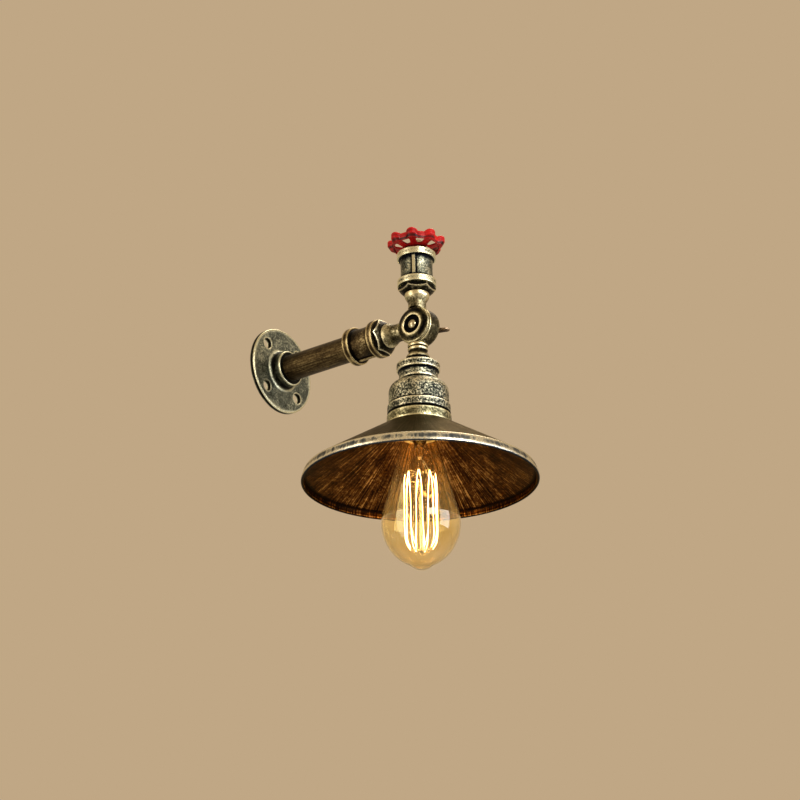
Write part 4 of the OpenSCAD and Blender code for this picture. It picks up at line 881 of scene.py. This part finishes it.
# Bulb: blown amber glass with a sealed tip, cemented into a brass cap that screws into the holder's shell.
# Inside, a pressed glass stem carries two rings of wire hooks.
cap_low, cap_high = ends("bulb_cap", head_axis)
cap_r, cap_wall, thread_pitch, thread_depth, cap_cone, cap_steps = 13.15, 0.5, 3.6, 0.45, 3, 96
cap_inner = cap_r - cap_wall - thread_depth
cap_path = outline(
    (cap_inner, cap_low + 8), (cap_inner, cap_low), (cap_r, cap_low, 0.2), (cap_r, cap_high - cap_cone, 1.0),
    (cap_r - cap_cone, cap_high, 0.8), (0, cap_high), (0, cap_high - cap_wall),
    (cap_r - cap_cone - 0.6, cap_high - cap_wall), (cap_inner, cap_high - cap_cone - 0.4), longest=0.45)
radius, height = columns(cap_path)
threaded = np.clip((radius - cap_r + 0.3) / 0.2, 0, 1) * np.clip((height - cap_low - 1.5) / 1.5, 0, 1)
helix = 0.5 - 0.5 * np.cos(2 * math.pi * height / thread_pitch - circle(cap_steps))
fit("bulb_cap_rolled", brass, "bulb", "brass", "bulb_cap",
    [turned(head_axis, cap_path, cap_steps, swell=-thread_depth * helix * threaded)])

glass_low, glass_high = ends("bulb_glass", head_axis)
bulb_r, belly_up, pip_h, pip_r, glass_t, glass_gap, glass_neck = 32, 39, 2.8, 8.6, 0.9, 0.05, 0.5


def glass_path(inset):
    """Neck, straight cone tangent to the round belly, and half ellipse with a sealed tip, drawn in by inset.

    The tip hangs pip_h * exp(-(r / pip_r) ** 4) below the ellipse.
    """
    belly = glass_low + belly_up
    neck_at = np.array([cap_r - cap_wall - glass_gap, cap_low - glass_neck])
    away, above = neck_at - [0, belly]
    lean = math.atan2(above, away) - math.acos(bulb_r / math.hypot(away, above))
    touch = bulb_r * np.array([math.cos(lean), math.sin(lean)]) + [0, belly]
    cone = neck_at + (touch - neck_at) * np.linspace(0, 1, 26)[:, None]
    belly_a = np.linspace(lean, 0, 14)[1:, None]
    round_top = np.concatenate([bulb_r * np.cos(belly_a), belly + bulb_r * np.sin(belly_a)], 1)
    low_a = np.linspace(0, math.pi / 2, 64)[1:, None]
    bowl_r = bulb_r * np.cos(low_a)
    tip = pip_h * np.exp(-(bowl_r / pip_r) ** 4)
    bowl = np.concatenate([bowl_r, belly - (belly_up - pip_h) * np.sin(low_a) - tip], 1)
    path = np.concatenate([[[neck_at[0], glass_high]], cone, round_top, bowl])
    leg = np.gradient(path, axis=0)
    path = path - inset * unit(np.stack([-leg[:, 1], leg[:, 0]], 1))
    path[-1, 0] = 0
    return path


shell = np.concatenate([glass_path(0)[::-1], glass_path(glass_t)])
# Amber blown glass is clear and smooth, with a trace of haze that the filament lights from within.
amber = mottled("amber blown glass", (0.35, "#f8eabc"), (0.65, "#fbf1d0"), (0.0, 0.03), spot=16, detail=2,
                dent=0.05, deep=1, Transmission_Weight=0.992, IOR=1.5, Specular_IOR_Level=0.9)
glass = fit("bulb_glass_blown", amber, "bulb", "amber_glass", "bulb_glass",
            [turned(head_axis, shell, 128, closed=False)])
# The stem's lead glass is clear, with ripples from the press that pinched it.
clear = mottled("clear lead glass", (0.35, "#e6e2d6"), (0.65, "#f6f4ee"), (0.0, 0.08), spot=3, detail=2,
                Transmission_Weight=1.0, IOR=1.56)
for see_through in (glass, frame["nodes"]["bulb_stem"]):
    see_through.visible_shadow = False
# The insulator under the contact is black glass, pressed and a little dusty.
insulator = mottled("black glass insulator", (0.4, "#15140f"), (0.75, "#262420"), (0.2, 0.4), grit=0.8,
                    **moulded)
kept |= {"bulb_stem": clear, "bulb_leads": zinc, "filament_hooks": zinc, "bulb_contact": brass,
         "bulb_insulator": insulator}

# Filament: one long tungsten wire that runs up and down between the hooks as a cage, glowing yellow-white.
# Its strands hang upright and are drawn in at the lower hooks.
strands, cage_r, cage_bow, cage_draw, draw_from = 16, 13.3, 1.2, 4, 0.75
strand_wire_r, strand_steps, wire_sides, heat_w = 0.18, 32, 8, 20
cage_low, cage_high = ends("filament", head_axis)


def wire_path():
    """Points down and up the cage, with one step of 1 / (strands + 1) turn for each strand.

    The radius is cage_r - bow * (2 * fall - 1) ** 6 - draw * q ** 3, where q grows from 0 to 1 over the last
    part of the fall. A strand's angle is its middle + half a step * (2 * t - 1) ** 3, so it turns most near
    its ends. The corners at the hooks are rounded by a running mean over three points.
    """
    s = np.linspace(0, strands, strands * strand_steps + 1)
    t = s % 1
    fall = np.abs((s + 1) % 2 - 1)
    a = 2 * math.pi * (np.floor(s) + 0.5 + 0.5 * (2 * t - 1) ** 3) / (strands + 1)
    q = np.clip((fall - draw_from) / (1 - draw_from), 0, 1)
    r = cage_r - cage_bow * (2 * fall - 1) ** 6 - cage_draw * q ** 3
    depth = cage_high - strand_wire_r - (cage_high - cage_low - 2 * strand_wire_r) * fall
    path = np.stack([r * np.cos(a), r * np.sin(a), depth], 1)
    padded = np.concatenate([path[:1], path, path[-1:]])
    return np.lib.stride_tricks.sliding_window_view(padded, 3, axis=0).mean(-1) + pivot


def wire(path, radius):
    """Round wire swept along a path: each ring lies across the path, on its own normal and binormal."""
    ahead = unit(np.gradient(path, axis=0))
    side = unit(np.cross(ahead, (path - pivot) * [1, 1, 0]))
    square = np.cross(side, ahead)
    a = circle(wire_sides)[:, None]
    ring = radius * (np.cos(a) * square[:, None] + np.sin(a) * side[:, None])
    tips = [path[end, None] + 0 * ring[end] for end in (slice(1), slice(-1, None))]
    points = np.concatenate([tips[0], path[:, None] + ring, tips[1]])
    return grid(points)


glow, tree, place = surface("glowing tungsten", Metallic=1.0, Roughness=0.5)
heat = node(tree, "TexNoise", {"Vector": place, "Scale": 1000 / heat_w, "Detail": 1})
tint = node(tree, "ValToRGB", {"Fac": heat}, [(0.3, "#ffd096"), (0.7, "#ffdcac")])
level = node(tree, "MapRange", {"Value": heat, "From Min": 0.3, "From Max": 0.7, "To Min": 92, "To Max": 110})
drive(tree, Base_Color=tint, Emission_Color=tint, Emission_Strength=level)
fit("filament_cage", glow, "bulb", "filament", "filament", [wire(wire_path(), strand_wire_r)])

# Solids that keep their shape: small turned, pressed and moulded pieces, hidden or plain in the real lamp.
# Each takes the finish that its own section gave it.
for name, finish in kept.items():
    for slot in frame["nodes"][name].material_slots:
        slot.material = finish

# Studio: a pale floor well below the lamp, a pale warm backdrop, and four soft boxes.
# The key and a cool window stand on the camera's right, a narrow warm fill on its left, and one at the back.
floor_drop, floor_half, cloud_w = -1.0, 4.0, 400
floor_mesh = bpy.data.meshes.new("floor")
floor_mesh.from_pydata([(x * floor_half, y * floor_half, floor_drop)
                        for x, y in ((-1, -1), (1, -1), (1, 1), (-1, 1))], [], [(0, 1, 2, 3)])
floor = add("floor", floor_mesh)
paint, tree, place = surface("pale floor paint", Roughness=0.8)
clouds = node(tree, "TexNoise", {"Vector": place, "Scale": 1000 / cloud_w, "Detail": 2})
drive(tree, Base_Color=node(tree, "ValToRGB", {"Fac": clouds}, [(0.3, "#ece2d0"), (0.7, "#f0e8d8")]))
floor_mesh.materials.append(paint)

world = bpy.data.worlds.new("pale studio")
world.use_nodes = True
bpy.context.scene.world = world
tree = world.node_tree
seen = 0.0
for kind in ("Camera", "Glossy", "Transmission"):
    ray = node(tree, "LightPath", take=f"Is {kind} Ray")
    seen = node(tree, "Math", {0: seen, 1: ray}, operation="MAXIMUM")
backdrop = node(tree, "Background", {"Color": linear("#c0a785"), "Strength": 1.0})
ambient = node(tree, "Background", {"Color": linear("#efe6d8"), "Strength": 0.45})
shown = node(tree, "MixShader", {0: seen, 1: ambient, 2: backdrop})
feed(tree, tree.nodes["World Output"], {"Surface": shown})

boxes = {"key": ((750, 750, 900), (600, 600), 11, "#fffaf2"),
         "window": ((1150, 150, 350), (700, 700), 8, "#f6f8ff"),
         "fill": ((-900, 100, 500), (450, 1300), 5, "#fff0dc"),
         "back": ((300, 900, -900), (700, 700), 7, "#fff0e0")}
for name, ((to_right, to_top, to_front), (width, height), watts, colour) in boxes.items():
    light = bpy.data.lights.new(name, "AREA")
    light.shape, light.size, light.size_y = "RECTANGLE", width / 1000, height / 1000
    light.energy, light.color = watts, linear(colour)[:3]
    stand = right * to_right + up * to_top - look * to_front
    back = unit(stand)
    across = unit(np.cross([0, 0, 1], back))
    add(name, light, across, np.cross(back, across), back, (pivot + stand) / 1000)

bpy.context.scene.view_settings.view_transform = "Standard"
